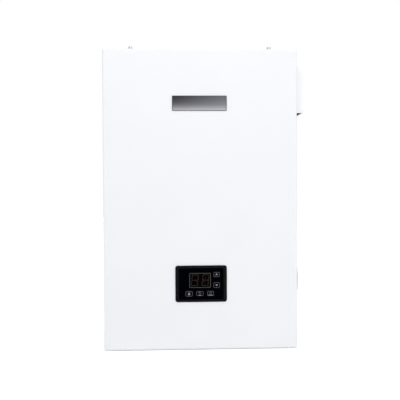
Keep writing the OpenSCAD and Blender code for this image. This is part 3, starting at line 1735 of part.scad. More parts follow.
back_plate();
left_side_panel();
right_side_panel();
top_panel();
bottom_panel();
front_cover();
nameplate();
side_vent_hood();
hood_grille();
cover_screws();
console_bracket();
console_housing();
control_bezel();
console_face();
display_lens();
led_display();
display_board();
key_up();
key_down();
key_heating();
key_tap();
key_power();
breaker_bracket();
din_rail();
breaker_body();
breaker_lever();
breaker_frame();
breaker_flap();
cable_glands();
electrics_plate();
power_board();
heat_sink();
triac_modules();
contactor();
contactor_plunger();
terminal_block();
overheat_thermostat();
reset_button();
heater_tank();
tank_brackets();
element_flange();
heating_elements();
outlet_tee();
air_vent();
flow_pipe();
flow_switch();
return_manifold();
temperature_sensors();
union_nuts();
pump_volute();
pump_motor();
pump_speed_knob();
pump_impeller();
expansion_vessel();
vessel_hose();
safety_valve();
valve_knob();
pressure_gauge();
gauge_needle();
wiring();
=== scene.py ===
# %% [markdown]
# # A wall-hung electric heating boiler
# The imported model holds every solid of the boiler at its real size. This lesson gives each one
# its finish and adds the thin things that aren't worth a solid: printed signs, display segments,
# screw heads, weld beads, chips, the dial of the gauge and the insulation of the wires.

# %% Load the model
import math
from itertools import product

import bmesh
import bpy
from mathutils import Matrix, Vector


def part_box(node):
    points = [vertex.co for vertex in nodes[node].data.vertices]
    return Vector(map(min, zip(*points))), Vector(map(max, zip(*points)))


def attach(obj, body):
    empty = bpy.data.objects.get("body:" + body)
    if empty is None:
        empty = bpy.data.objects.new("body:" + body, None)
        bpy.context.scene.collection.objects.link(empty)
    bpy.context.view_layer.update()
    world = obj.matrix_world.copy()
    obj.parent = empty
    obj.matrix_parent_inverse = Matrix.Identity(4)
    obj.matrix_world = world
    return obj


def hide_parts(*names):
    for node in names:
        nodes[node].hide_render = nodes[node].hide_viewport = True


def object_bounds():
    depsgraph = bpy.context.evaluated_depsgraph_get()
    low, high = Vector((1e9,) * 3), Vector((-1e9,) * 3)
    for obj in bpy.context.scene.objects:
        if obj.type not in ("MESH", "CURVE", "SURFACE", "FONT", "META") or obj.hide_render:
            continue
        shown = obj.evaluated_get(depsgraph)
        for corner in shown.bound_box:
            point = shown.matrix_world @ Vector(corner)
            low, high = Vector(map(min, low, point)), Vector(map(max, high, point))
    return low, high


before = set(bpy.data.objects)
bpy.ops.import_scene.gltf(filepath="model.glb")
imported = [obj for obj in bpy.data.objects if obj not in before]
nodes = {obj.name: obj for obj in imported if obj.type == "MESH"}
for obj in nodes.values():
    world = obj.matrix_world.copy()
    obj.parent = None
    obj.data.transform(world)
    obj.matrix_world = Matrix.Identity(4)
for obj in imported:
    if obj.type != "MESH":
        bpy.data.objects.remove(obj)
cad_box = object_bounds()
MM = 0.001


def shown(name, data):
    """A new object that is linked to the scene."""
    made = bpy.data.objects.new(name, data)
    bpy.context.scene.collection.objects.link(made)
    return made


# %% [markdown]
# New pieces sit on the solids, so their places are worked out from the boxes of the solids. Shapes,
# places and patterns are in millimetres. Only links between nodes and the lamps are in metres.

# %% Boxes of the solids


class Extent:
    """The box round a solid, in millimetres."""

    def __init__(self, node):
        self.low, self.high = (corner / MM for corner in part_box(node))
        self.mid = (self.low + self.high) / 2
        self.span = self.high - self.low


box = {name: Extent(name) for name in nodes}

# %% [markdown]
# The photograph was taken almost square on, from 1.4 m in front of the cover and a little to the
# left of its middle. The camera comes first, because every finish is judged through it. Its three
# axes are written as a matrix, which holds the slight roll that a look-at constraint would lose.

# %% Camera
FRAME_PX = 400
FOCAL_PX = 650
SENSOR = 36
eye = Vector((-63.5, -1624.3, -234.6)) * MM
ahead = Vector((0.044, 0.9988, -0.0219)).normalized()
upright = Vector((0.0059, 0.0217, 0.9997)).normalized()
right = ahead.cross(upright).normalized()
upright = right.cross(ahead).normalized()

camera = shown("camera", bpy.data.cameras.new("camera"))
camera.data.sensor_width = SENSOR
camera.data.lens = FOCAL_PX / FRAME_PX * SENSOR
camera.matrix_world = Matrix((
    (right.x, upright.x, -ahead.x, eye.x),
    (right.y, upright.y, -ahead.y, eye.y),
    (right.z, upright.z, -ahead.z, eye.z),
    (0, 0, 0, 1),
))
bpy.context.scene.camera = camera
bpy.context.scene.view_settings.view_transform = "Standard"
print("lens:", round(camera.data.lens, 1), "mm")

# %% [markdown]
# A finish is a small net of shader nodes. Writing it as arithmetic keeps it readable: a link
# wraps one output, and sums, products and comparisons of links add the Math nodes. Everything
# else is made by one method that takes a node's type, its settings and its sockets.

# %% Links between nodes


def operator(operation, swapped=False):
    """A method of Link that adds one Math node."""
    def method(self, *others):
        values = (*others, self) if swapped else (self, *others)
        return self.net.node("Math", {"operation": operation}, dict(enumerate(values)))
    return method


class Link:
    """One output of a shader node."""

    __add__ = __radd__ = operator("ADD")
    __sub__ = operator("SUBTRACT")
    __rsub__ = operator("SUBTRACT", swapped=True)
    __mul__ = __rmul__ = operator("MULTIPLY")
    __truediv__ = operator("DIVIDE")
    __gt__ = operator("GREATER_THAN")
    __lt__ = operator("LESS_THAN")
    highest = operator("MAXIMUM")
    sine = operator("SINE")

    def __init__(self, net, socket):
        self.net = net
        self.socket = socket


# %% Nets of nodes


class Net:
    """A node tree that is filled through one method."""

    def __init__(self, tree):
        self.tree = tree
        tree.nodes.clear()

    def node(self, kind, settings=None, sockets=None, out=0):
        made = self.tree.nodes.new("ShaderNode" + kind)
        for key, value in (settings or {}).items():
            if key == "stops":
                elements = made.color_ramp.elements
                while len(elements) < len(value):
                    elements.new(1)
                for element, (at, colour) in zip(elements, value):
                    element.position = at
                    element.color = (*colour, 1)
            else:
                setattr(made, key, value)
        for key, value in (sockets or {}).items():
            socket = made.inputs[key]
            if isinstance(value, Link):
                self.tree.links.new(value.socket, socket)
            elif socket.type == "RGBA":
                socket.default_value = (*value, 1)
            else:
                socket.default_value = value
        return Link(self, made.outputs[out]) if len(made.outputs) else None

    def rays(self):
        """1 for rays from the camera, a mirror or a glass, and 0 for those that carry light."""
        names = ("Is Camera Ray", "Is Glossy Ray", "Is Transmission Ray")
        camera_ray, glossy, through = (self.node("LightPath", out=name) for name in names)
        return camera_ray.highest(glossy).highest(through)


# %% [markdown]
# Every pattern is measured on the piece itself, in Object coordinates, so it keeps its real size
# and moves with the piece. A finish offers the few patterns that this boiler needs: soft noise
# that may be drawn out into brush lines, a colour ramp, a mask for a box, and a bump.

# %% Finishes


class Finish(Net):
    """A material whose patterns are measured on the piece itself."""

    def __init__(self, name):
        self.material = bpy.data.materials.new(name)
        self.material.use_nodes = True
        super().__init__(self.material.node_tree)
        self.place = self.node("TexCoord", out="Object")
        split = self.node("SeparateXYZ", sockets={0: self.place}).socket.node
        self.x, self.y, self.z = (Link(self, socket) for socket in split.outputs)

    def noise(self, size, detail=2.0, stretch=(1, 1, 1)):
        """Soft spots about `size` millimetres across, drawn out along an axis by `stretch`."""
        point = self.node("Mapping", sockets={
            "Vector": self.place, "Scale": [1 / (size * MM * s) for s in stretch]})
        return self.node("TexNoise", sockets={
            "Vector": point, "Scale": 1.0, "Detail": detail})

    def ramp(self, factor, *stops):
        return self.node("ValToRGB", {"stops": stops}, {0: factor})

    def mix(self, factor, first, second):
        sockets = {0: factor, 6: first, 7: second}
        return self.node("Mix", {"data_type": "RGBA"}, sockets, 2)

    def clouded(self, factor, colour, darker, paler):
        """A colour that wanders between two shares of itself."""
        return self.mix(factor, [c * darker for c in colour], [min(1, c * paler) for c in colour])

    def inside(self, low, high):
        """1 inside a box given in millimetres, 0 outside it. None leaves a side open."""
        tests = []
        for axis, a, b in zip((self.x, self.y, self.z), low, high):
            tests += [axis > a * MM] if a is not None else []
            tests += [axis < b * MM] if b is not None else []
        mask = tests[0]
        for test in tests[1:]:
            mask = mask * test
        return mask

    def bump(self, height, depth):
        return self.node("Bump", sockets={
            "Strength": 1.0, "Distance": depth * MM, "Height": height})

    def surface(self, colour, roughness=0.5, **more):
        sockets = {"Base Color": colour, "Roughness": roughness}
        sockets.update({key.replace("_", " "): value for key, value in more.items()})
        shader = self.node("BsdfPrincipled", sockets=sockets)
        self.node("OutputMaterial", sockets={"Surface": shader})
        return self.material


# %% [markdown]
# The case is folded from steel sheet and powder coated. The powder melts into a skin with a
# fine orange peel, so the finish gets a shallow bump less than a millimetre wide, and the
# roughness drifts a little because no batch of powder flows quite evenly.

# %% Powder coat


def powder_coat(name, colour, batch=90, peel=0.9, depth=0.012):
    f = Finish(name)
    drift, grain = f.noise(batch, 1.0), f.noise(peel, 2.0)
    tone = f.clouded(drift, colour, 0.985, 1.01)
    return f.surface(tone, 0.34 + 0.1 * drift + 0.06 * grain, Normal=f.bump(grain, depth))


white_coat = powder_coat("powder_white", (0.893, 0.902, 0.931))
# The hood has the cover's powder, given a paler colour as painted light, because it stands back
# beside the cover and gets less of the lamps.
painted_light_hood_coat = powder_coat("powder_white_hood_painted_light", (0.94, 0.945, 0.975))
inner_coat = powder_coat("powder_white_inside", (0.86, 0.865, 0.88))
print("coat:", white_coat.name)

# %% [markdown]
# The nameplate is a thin aluminium foil with a fine horizontal brushing. Long thin noise along
# X gives the brush lines. The base colour holds a painted reflection, from a darker upper edge to
# a brighter lower edge, and a painted sheen that grows towards the right, so the lower right
# corner is brightest, and a thin rim round the plate is dark.

# %% Brushed nameplate
FOIL_RIM = 1.1
BRUSH_W, BRUSH_STRETCH = 0.35, (120, 1, 1)
# Painted reflection: the base colour from the upper edge (0) down to the lower edge (1).
FOIL_PAINTED_REFLECTION = [
    (0.0, (0.012, 0.011, 0.014)), (0.25, (0.03, 0.028, 0.033)), (0.45, (0.062, 0.058, 0.067)),
    (0.6, (0.1, 0.096, 0.107)), (0.72, (0.165, 0.16, 0.176)), (0.85, (0.25, 0.246, 0.266)),
    (1.0, (0.38, 0.378, 0.4)),
]
# The pale colour mixed in towards the right is a painted sheen; the dark one is the rim.
FOIL_PAINTED_SHEEN, RIM_DARK = (0.76, 0.8, 0.88), (0.04, 0.04, 0.045)


def brushed_foil(name, sheet):
    f = Finish(name)
    lines = f.noise(BRUSH_W, 3.0, BRUSH_STRETCH)
    fall = (sheet.high.z * MM - f.z) / (sheet.span.z * MM)
    run = (f.x - sheet.low.x * MM) / (sheet.span.x * MM)
    # The ramp down the plate is a painted reflection, and the pale mix along X a painted sheen.
    painted_reflection = f.ramp(fall + 0.12 * (lines - 0.5), *FOIL_PAINTED_REFLECTION)
    middle = f.inside((sheet.low.x + FOIL_RIM, None, sheet.low.z + FOIL_RIM),
                      (sheet.high.x - FOIL_RIM, None, sheet.high.z - FOIL_RIM))
    tone = f.mix(middle, RIM_DARK, f.mix(0.13 * run, painted_reflection, FOIL_PAINTED_SHEEN))
    return f.surface(tone, 0.3 + 0.25 * lines, Metallic=0.75, Normal=f.bump(lines, 0.01))


foil = brushed_foil("brushed_foil", box["nameplate"])

# %% [markdown]
# The bezel is black moulded plastic with a spark-eroded grain, and the face inside it is a
# polished sheet. Both are nearly black, so their gloss is kept low: with a white studio round
# them a full reflection would turn them grey.

# %% Black plastics


def moulded(name, colour, shine=0.25, grain=0.5, depth=0.012, roughness=0.42):
    f = Finish(name)
    pores, cloud = f.noise(grain, 3.0), f.noise(30)
    return f.surface(f.clouded(cloud, colour, 0.85, 1.12), roughness + 0.14 * pores,
                     Normal=f.bump(pores, depth), Specular_IOR_Level=shine)


def polished(name, colour, shine=0.06):
    f = Finish(name)
    haze = f.noise(12, 3.0)
    return f.surface(f.clouded(haze, colour, 1, 1.3), 0.06 + 0.06 * haze, Specular_IOR_Level=shine)


black_bezel = moulded("black_bezel", (0.0078, 0.0076, 0.0095), 0.03)
black_face = polished("black_face", (0.0003, 0.0004, 0.0012), 0.004)
black_key = polished("black_key", (0.0005, 0.0006, 0.0015), 0.015)
black_parts = moulded("black_parts", (0.012, 0.012, 0.014))
grille_black = moulded("grille_black", (0.018, 0.018, 0.022), 0.15)

# %% [markdown]
# The window in front of the digits is smoked acrylic. It is see-through with a dark tint, so
# the unlit segments behind it show as dull brown bars. The glass of the gauge is made the same
# way, only clear.

# %% Windows and prints


def tinted(name, colour, cover, shine):
    f = Finish(name)
    haze = f.noise(9)
    return f.surface(f.clouded(haze, colour, 1, 1.4), 0.05 + 0.04 * haze, Alpha=cover,
                     Specular_IOR_Level=shine)


def printed(name, colour):
    return moulded(name, colour, 0.2, 0.3, 0.004, 0.5)


window = tinted("smoked_window", (0.001, 0.0006, 0.0006), 0.25, 0.012)
clear_glass = tinted("gauge_glass", (0.5, 0.52, 0.52), 0.08, 0.5)
led_body = moulded("led_body", (0.003, 0.0025, 0.0025), 0.02)
led_segment = moulded("led_segment", (0.076, 0.05, 0.036), 0.01)
# This ink draws the display's printed line, and on the keys a ring of painted highlight along their
# edges.
print_line_and_painted_highlight = printed("print_line_and_painted_highlight", (0.076, 0.078, 0.086))
print_dim = printed("print_dim", (0.088, 0.09, 0.1))
print_light = printed("print_light", (0.27, 0.274, 0.29))
print_white = printed("print_white", (0.78, 0.78, 0.78))
print_black = printed("print_black", (0.02, 0.02, 0.022))
print_red = printed("print_red", (0.55, 0.03, 0.02))
print_green = printed("print_green", (0.03, 0.3, 0.06))

# %% [markdown]
# Metals need a direction: drawn tube is lined along its length, a spun tank round its axis,
# zinc plate shows pale flowers, and cast parts are pitted. One function covers the lined ones,
# with the size, stretch and depth of the marks as its values.

# %% Metals


def metal(name, colour, roughness=0.3, marks=0.5, stretch=(1, 1, 1), patch=0.35,
          depth=0.008):
    f = Finish(name)
    fine = f.noise(marks, 3.0, stretch)
    tone = f.clouded(0.55 * f.noise(26, 3.0) + 0.45 * fine, colour, 1 - patch, 1)
    return f.surface(tone, roughness + 0.18 * fine, Metallic=1.0, Normal=f.bump(fine, depth))


def zinc_plate(name, flowers_per_metre=140.0):
    f = Finish(name)
    flowers = f.node("TexVoronoi", {"feature": "F1"},
                     {"Vector": f.place, "Scale": flowers_per_metre}, "Color")
    bright = f.node("SeparateColor", sockets={0: flowers})
    fine = f.noise(0.6, 2.0, (8, 8, 1))
    tone = f.mix(bright, (0.5, 0.515, 0.535), (0.68, 0.69, 0.705))
    return f.surface(tone, 0.3 + 0.16 * bright + 0.08 * fine, Metallic=1.0,
                     Normal=f.bump(fine, 0.005))


zinc = zinc_plate("zinc_plate")
screw_steel = metal("screw_steel", (0.62, 0.63, 0.65), 0.26)
stainless_tank = metal("stainless_tank", (0.66, 0.67, 0.68), 0.24, 0.4, (60, 60, 1))
weld_steel = metal("weld_steel", (0.5, 0.46, 0.42), 0.35, 1.6, patch=0.55, depth=0.15)
brass = metal("brass", (0.75, 0.57, 0.27), 0.24, 0.5, (1, 1, 12), 0.3)
copper = metal("copper", (0.78, 0.42, 0.27), 0.24, 0.4, (1, 1, 40), 0.4)
sink_metal = metal("sink_metal", (0.74, 0.75, 0.77), 0.32, 0.3, (1, 1, 60))

# %% Castings


def casting(name, colour, sand=1.1, depth=0.12, roughness=0.45):
    f = Finish(name)
    pits, cloud = f.noise(sand, 4.0), f.noise(18)
    return f.surface(f.clouded(cloud, colour, 0.8, 1.2), roughness + 0.2 * pits,
                     Normal=f.bump(pits, depth))


pump_iron = casting("pump_iron", (0.022, 0.024, 0.028))

# %% [markdown]
# Light plastics make up the switch, its frame and its flap, the terminals and the impeller. They
# share the mould grain of the black ones and change colour and shine.

# %% Light and coloured plastics
flap_grey = moulded("flap_grey", (0.785, 0.787, 0.805), 0.4)
frame_grey = moulded("frame_grey", (0.74, 0.745, 0.77), 0.35)
breaker_grey = moulded("breaker_grey", (0.66, 0.67, 0.68), 0.4)
lever_blue = moulded("lever_blue", (0.02, 0.06, 0.2), 0.4)
signal_red = moulded("signal_red", (0.5, 0.02, 0.014), 0.4)
impeller_white = moulded("impeller_white", (0.62, 0.62, 0.58), 0.4)
boot_white = moulded("boot_white", (0.7, 0.69, 0.66), 0.3)
chip_black = moulded("chip_black", (0.014, 0.014, 0.016), 0.3, 0.3)
gasket_fibre = moulded("gasket_fibre", (0.05, 0.09, 0.07), 0.1, 1.2, 0.05, 0.7)

# %% [markdown]
# Some solids carry more than one material in life: brass with a plastic cap, a red vessel with
# a steel nipple. Cutting them up would change the frame, so their finish changes inside boxes
# measured on the piece. Each stuff is a colour, a roughness and how metallic it is.

# %% Solids of several materials
BRASS = ((0.75, 0.57, 0.27), 0.26, 1.0)
STEEL = ((0.62, 0.63, 0.65), 0.26, 1.0)
CHROME = ((0.8, 0.81, 0.82), 0.12, 1.0)
COPPER = ((0.78, 0.42, 0.27), 0.26, 1.0)
SHEATH = ((0.4, 0.4, 0.42), 0.36, 1.0)
BLACK = ((0.014, 0.014, 0.016), 0.42, 0.0)
CERAMIC = ((0.76, 0.74, 0.68), 0.35, 0.0)
MOTOR_PAINT = ((0.08, 0.088, 0.1), 0.4, 0.0)
VESSEL_RED = ((0.46, 0.022, 0.018), 0.28, 0.0)


def patched(name, base, *patches, depth=0.012):
    f = Finish(name)
    fine, cloud = f.noise(0.7, 3.0), f.noise(22)
    colour, roughness, shiny = base
    tone, rough = f.clouded(cloud, colour, 0.82, 1.12), roughness + 0.14 * fine
    for low, high, (other, other_roughness, other_shiny) in patches:
        mask = f.inside(low, high)
        tone = f.mix(mask, tone, f.clouded(cloud, other, 0.85, 1.1))
        rough = rough + mask * (other_roughness - roughness)
        shiny = shiny + mask * (other_shiny - shiny)
    return f.surface(tone, rough, Metallic=shiny, Normal=f.bump(fine, depth))


def dress(name, material):
    """Gives a solid its only material."""
    nodes[name].data.materials.clear()
    nodes[name].data.materials.append(material)


# %% [markdown]
# A change of material that lies on a step of the solid is moved off it by a hair, so that the
# whole of each face keeps one colour.

# %% Dress the mixed solids
OPEN = (None, None, None)
PIN_L, BOLT_H, CAP_H, RIM_H, NIPPLE_L = 10, 6, 8, 3, 18
PUMP_BOX_H, PUMP_BOX_FRONT, PUMP_BOX_BACK = 31.9, -171.7, -135.3
SWITCH_CASE_X, SWITCH_CASE_Z = -31.4, (-527.1, -481.9)
CAPILLARY_X, CAPILLARY_Z = -3.5, -526.3
HAIR = 0.1
element_top = box["heating_elements"].high.z


def above(z):
    return (None, None, z), OPEN


def below(z):
    return OPEN, (None, None, z)


MIXED = {
    "air_vent": (BRASS, (*above(box["air_vent"].high.z - CAP_H - HAIR), BLACK)),
    "flow_switch": (BRASS, ((SWITCH_CASE_X, None, SWITCH_CASE_Z[0]),
                            (None, None, SWITCH_CASE_Z[1]), BLACK)),
    "element_flange": (BRASS, (*above(box["element_flange"].high.z - BOLT_H + HAIR), STEEL)),
    "heating_elements": (SHEATH, (*above(box["element_flange"].high.z - BOLT_H), CERAMIC),
                         (*above(element_top - PIN_L + HAIR / 2), STEEL)),
    "pump_motor": (MOTOR_PAINT, ((None, PUMP_BOX_FRONT, box["pump_motor"].high.z - PUMP_BOX_H),
                                 (None, PUMP_BOX_BACK, None), BLACK)),
    "expansion_vessel": (VESSEL_RED,
                         (*below(box["expansion_vessel"].low.z + NIPPLE_L - 2 * HAIR), STEEL)),
    "pressure_gauge": (BLACK, (*below(box["pressure_gauge"].low.z + RIM_H - HAIR), CHROME),
                       (*above(CAPILLARY_Z), COPPER), (OPEN, (CAPILLARY_X, None, None), COPPER)),
}
for node, (base, *patches) in MIXED.items():
    dress(node, patched(node + "_finish", base, *patches))
print("mixed solids:", len(MIXED))

# %% [markdown]
# A circuit board is green laminate with copper tracks under its lacquer. A brick texture with
# thin mortar gives long straight tracks. The relays, the coil, the cans and the plugs stand on
# it in the same solid, so boxes give them their own colours.

# %% Circuit boards
TRACK_W, TRACK_L, TRACK_PITCH = 0.35 * MM, 9 * MM, 3.1 * MM
BOARD_PARTS_H, DISPLAY_PARTS_H, CAN_H, PLUG_D = 9.7, 1.7, 16, 14


def board_finish(name, face_y, parts=()):
    f = Finish(name)
    turned_place = f.node("Mapping", sockets={
        "Vector": f.place, "Rotation": (math.pi / 2, 0, 0)})
    tracks = f.node("TexBrick", {"offset": 0.5}, {
        "Vector": turned_place, "Scale": 1.0, "Mortar Size": TRACK_W, "Mortar Smooth": 0.2,
        "Brick Width": TRACK_L, "Row Height": TRACK_PITCH, "Color1": (0, 0, 0),
        "Color2": (0, 0, 0), "Mortar": (1, 1, 1)})
    laminate = f.mix(tracks, (0.012, 0.085, 0.035), (0.03, 0.16, 0.06))
    tone = f.mix(f.y < face_y * MM, laminate, (0.015, 0.016, 0.02))
    for low, high, colour in parts:
        tone = f.mix(f.inside(low, high), tone, colour)
    return f.surface(tone, 0.3 + 0.2 * f.noise(6), Specular_IOR_Level=0.45)


board = box["power_board"]
board_face = board.high.y - BOARD_PARTS_H


def standing(left_share, right_share, bottom, top, colour, front=board_face):
    """A part of the power board, between two shares of its width and two heights."""
    left, right = (board.low.x + share * board.span.x for share in (left_share, right_share))
    return (left, None, board.low.z + bottom), (right, front, board.low.z + top), colour


board_h = board.span.z
power_board = board_finish("power_board", board_face, [
    standing(0, 0.43, 0.28 * board_h, 0.62 * board_h, (0.5, 0.36, 0.06)),
    standing(0.45, 1, 0.4 * board_h, 0.6 * board_h, (0.015, 0.02, 0.05)),
    standing(0.45, 1, 0.4 * board_h, 0.6 * board_h, (0.55, 0.56, 0.58), board_face - CAN_H),
    standing(0, 1, 0.66 * board_h, board_h - PLUG_D, (0.02, 0.07, 0.26)),
    standing(0, 1, 0, PLUG_D, (0.7, 0.69, 0.62)),
    standing(0, 1, board_h - PLUG_D, board_h, (0.05, 0.28, 0.1)),
])
display_board = board_finish("display_board", box["display_board"].high.y - DISPLAY_PARTS_H)
print("boards:", power_board.name, display_board.name)

# %% Dress the other solids
DRESS = {
    white_coat: ["front_cover"],
    painted_light_hood_coat: ["side_vent_hood"],
    inner_coat: ["back_plate", "left_side_panel", "right_side_panel", "top_panel", "bottom_panel"],
    foil: ["nameplate"],
    zinc: ["console_bracket", "breaker_bracket", "din_rail", "electrics_plate", "tank_brackets"],
    screw_steel: ["cover_screws"],
    black_bezel: ["control_bezel"],
    black_face: ["console_face"],
    black_key: ["key_up", "key_down", "key_heating", "key_tap", "key_power"],
    black_parts: ["console_housing", "cable_glands", "triac_modules", "contactor",
                  "overheat_thermostat"],
    grille_black: ["hood_grille"],
    window: ["display_lens"],
    led_body: ["led_display"],
    display_board: ["display_board"],
    power_board: ["power_board"],
    flap_grey: ["breaker_flap"],
    frame_grey: ["breaker_frame"],
    breaker_grey: ["breaker_body", "terminal_block"],
    lever_blue: ["breaker_lever"],
    signal_red: ["contactor_plunger", "reset_button", "pump_speed_knob", "valve_knob",
                 "gauge_needle"],
    stainless_tank: ["heater_tank"],
    sink_metal: ["heat_sink"],
    impeller_white: ["pump_impeller"],
    brass: ["outlet_tee", "return_manifold", "temperature_sensors", "union_nuts", "safety_valve"],
    copper: ["flow_pipe"],
    pump_iron: ["pump_volute"],
}
for material, names in DRESS.items():
    for name in names:
        dress(name, material)
print("dressed:", sum(len(names) for names in DRESS.values()))

# %% [markdown]
# New pieces are thin, so most start as one flat face, which is given its height last: a grid
# with a single face becomes a round cornered plate when its corners are bevelled, a circle a
# disc, and an inset turns either into a ring.

# %% Flat shapes
PRINT = 0.08


def thicken(bm, depth):
    """Raises a flat shape along Z and closes it."""
    made = bmesh.ops.extrude_face_region(bm, geom=bm.faces[:])
    top = [v for v in made["geom"] if isinstance(v, bmesh.types.BMVert)]
    bmesh.ops.translate(bm, vec=(0, 0, depth), verts=top)
    bmesh.ops.recalc_face_normals(bm, faces=bm.faces)
    return bm


def raised(bm, ring, depth):
    """Thickens a flat face, or only a rim of it that is `ring` wide."""
    if ring:
        middle = bm.faces[:]
        bmesh.ops.inset_region(bm, faces=middle, thickness=ring, use_boundary=True,
                               use_even_offset=True)
        bmesh.ops.delete(bm, geom=middle, context="FACES_ONLY")
    return thicken(bm, depth)


def plate(width, height, corner=0.0, ring=0.0, depth=PRINT):
    bm = bmesh.new()
    bmesh.ops.create_grid(bm, x_segments=1, y_segments=1, size=0.5)
    bmesh.ops.scale(bm, vec=(width, height, 1), verts=bm.verts)
    if corner:
        bmesh.ops.bevel(bm, geom=bm.verts[:], offset=corner, segments=6, profile=0.5,
                        affect="VERTICES", material=-1)
    return raised(bm, ring, depth)


def disc(radius, sides=24, ring=0.0, depth=PRINT):
    bm = bmesh.new()
    bmesh.ops.create_circle(bm, cap_ends=True, segments=sides, radius=radius)
    return raised(bm, ring, depth)


def eased(bm, radius):
    """Rounds the upper edges of a raised shape."""
    top = max(v.co.z for v in bm.verts) - PRINT / 8
    edges = [e for e in bm.edges if all(v.co.z > top for v in e.verts)]
    bmesh.ops.bevel(bm, geom=edges, offset=radius, segments=2, profile=0.5, affect="EDGES",
                    material=-1)
    return bm


def slab(width, height, depth, corner=0.3, ease=0.2):
    """A raised plate with eased upper edges, for chips and small blocks."""
    return eased(plate(width, height, corner, depth=depth), ease)


def arc(radius, width, start, sweep, steps=24):
    """A band, run clockwise from `start` degrees off the top through `sweep` degrees."""
    bm = bmesh.new()
    ends = [bm.verts.new((0, r, 0)) for r in (radius, radius + width)]
    edge = bm.edges.new(ends)
    bmesh.ops.rotate(bm, matrix=Matrix.Rotation(math.radians(-start), 3, "Z"), verts=ends)
    bmesh.ops.spin(bm, geom=[*ends, edge], angle=math.radians(-sweep), steps=steps,
                   axis=(0, 0, 1), cent=(0, 0, 0))
    return thicken(bm, PRINT)


# %% [markdown]
# A piece is often many copies of a few shapes: twelve clamp screws, nine ticks. Copies are
# stamped into one mesh, each group with the way it faces, and the mesh rides on its body.

# %% Places and stamps
UP = Matrix.Identity(4)
DOWN = Matrix.Rotation(math.pi, 4, "Y")
FRONT = Matrix.Rotation(math.pi / 2, 4, "X")
BACK = Matrix.Rotation(math.pi, 4, "Z") @ FRONT
RIGHT = Matrix.Rotation(math.pi / 2, 4, "Z") @ FRONT
LEFT = Matrix.Rotation(-math.pi / 2, 4, "Z") @ FRONT


def at(x, y, z=0.0):
    return Matrix.Translation((x, y, z))


def twist(degrees=0.0):
    return Matrix.Rotation(math.radians(degrees), 4, "Z")


def both(middle, reach):
    """The two values that lie `reach` to either side of the middle."""
    return middle - reach, middle + reach


def spots(x, y, z, *turn):
    """Places at every combination of the values given for each axis."""
    axes = (value if isinstance(value, (list, tuple)) else [value] for value in (x, y, z))
    return [(*spot, *turn) for spot in product(*axes)]


def stamp(target, source, matrix, index=None):
    """Adds a copy of the bmesh `source` to the bmesh `target`."""
    mesh = bpy.data.meshes.new("stamp")
    source.to_mesh(mesh)
    mesh.transform(matrix)
    if index is not None:
        for polygon in mesh.polygons:
            polygon.material_index = index
    target.from_mesh(mesh)
    bpy.data.meshes.remove(mesh)


def piece(bm, name, materials, body, smooth=35):
    """Makes an object of a bmesh in metres and lets it ride on a body."""
    mesh = bpy.data.meshes.new(name)
    bm.to_mesh(mesh)
    bm.free()
    for each in materials if isinstance(materials, list) else [materials]:
        mesh.materials.append(each)
    mesh.shade_smooth()
    mesh.set_sharp_from_angle(angle=math.radians(smooth))
    made = shown(name, mesh)
    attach(made, body)
    return made


def gathered(name, materials, slot, *groups, body="chassis"):
    """One piece of many stamps: (shape, way it faces, places as x, y, z and a twist, material)."""
    bm = bmesh.new()
    for source, way, places, *index in groups:
        for x, y, z, *turn in places:
            spot = at(x, y, z) @ way @ twist(*turn)
            stamp(bm, source, Matrix.Scale(MM, 4) @ spot, *index)
    made = piece(bm, name, materials, body)
    print(name, sum(len(group[2]) for group in groups), "stamps,", len(made.data.polygons), "faces")


# %% [markdown]
# Turned parts such as caps, ferrules and weld beads are a profile spun round Z. The merge closes
# the last step on the first, and the doubles on the axis are joined before the faces are turned
# outwards.

# %% Turned shapes and fasteners


def turned(profile, sides=24, closed=False):
    """A profile of radius and height, spun round Z. A closed one makes a ring."""
    bm = bmesh.new()
    rim = [bm.verts.new((r, 0, z)) for r, z in profile]
    edges = [bm.edges.new(pair) for pair in zip(rim, rim[1:] + rim[:1] if closed else rim[1:])]
    bmesh.ops.spin(bm, geom=rim + edges, angle=math.tau, steps=sides, axis=(0, 0, 1),
                   cent=(0, 0, 0), use_merge=True)
    bmesh.ops.remove_doubles(bm, verts=bm.verts, dist=0.001)
    bmesh.ops.recalc_face_normals(bm, faces=bm.faces)
    return bm


def sleeve(inner, outer, length):
    """A short tube whose outer edges are eased."""
    ease = 0.3 * (outer - inner)
    return turned([(inner, 0), (outer - ease, 0), (outer, ease), (outer, length - ease),
                   (outer - ease, length), (inner, length)], closed=True)


def screw_head(radius, height):
    """A pan head with a hexagon socket."""
    bm = eased(disc(radius, depth=height), 0.4 * height)
    cap = max(bm.faces, key=lambda face: face.calc_center_median().z)
    bmesh.ops.inset_region(bm, faces=[cap], thickness=0.35 * radius, use_even_offset=True)
    for v in cap.verts:
        angle = math.atan2(v.co.y, v.co.x)
        reach = 0.46 * radius / math.cos(angle % (math.pi / 3) - math.pi / 6)
        v.co.xy = reach * math.cos(angle), reach * math.sin(angle)
    pocket = bmesh.ops.extrude_face_region(bm, geom=[cap])["geom"]
    bmesh.ops.translate(bm, vec=(0, 0, -0.5 * height),
                        verts=[v for v in pocket if isinstance(v, bmesh.types.BMVert)])
    return bm


def slotted_head(radius, height, slot=0.8):
    """A cheese head: a disc, and on it two halves that leave the slot between them."""
    bm = disc(radius, depth=height - slot)
    for side in (1, -1):
        half = disc(radius, depth=slot)
        bmesh.ops.bisect_plane(half, geom=half.verts[:] + half.edges[:] + half.faces[:],
                               plane_co=(0, side * 0.15 * radius, 0), plane_no=(0, side, 0),
                               clear_inner=True)
        bmesh.ops.holes_fill(half, edges=[e for e in half.edges if e.is_boundary], sides=0)
        stamp(bm, half, at(0, 0, height - slot))
    return bm


def hex_nut(across, height, hole):
    return eased(disc(across / math.sqrt(3), 6, across / 2 - hole, height), 0.25)


# %% [markdown]
# A figure comes from Blender's own font. The text is made a mesh while it is still flat, and only
# that mesh is placed.

# %% Figures
CAPITAL_SHARE = 0.7


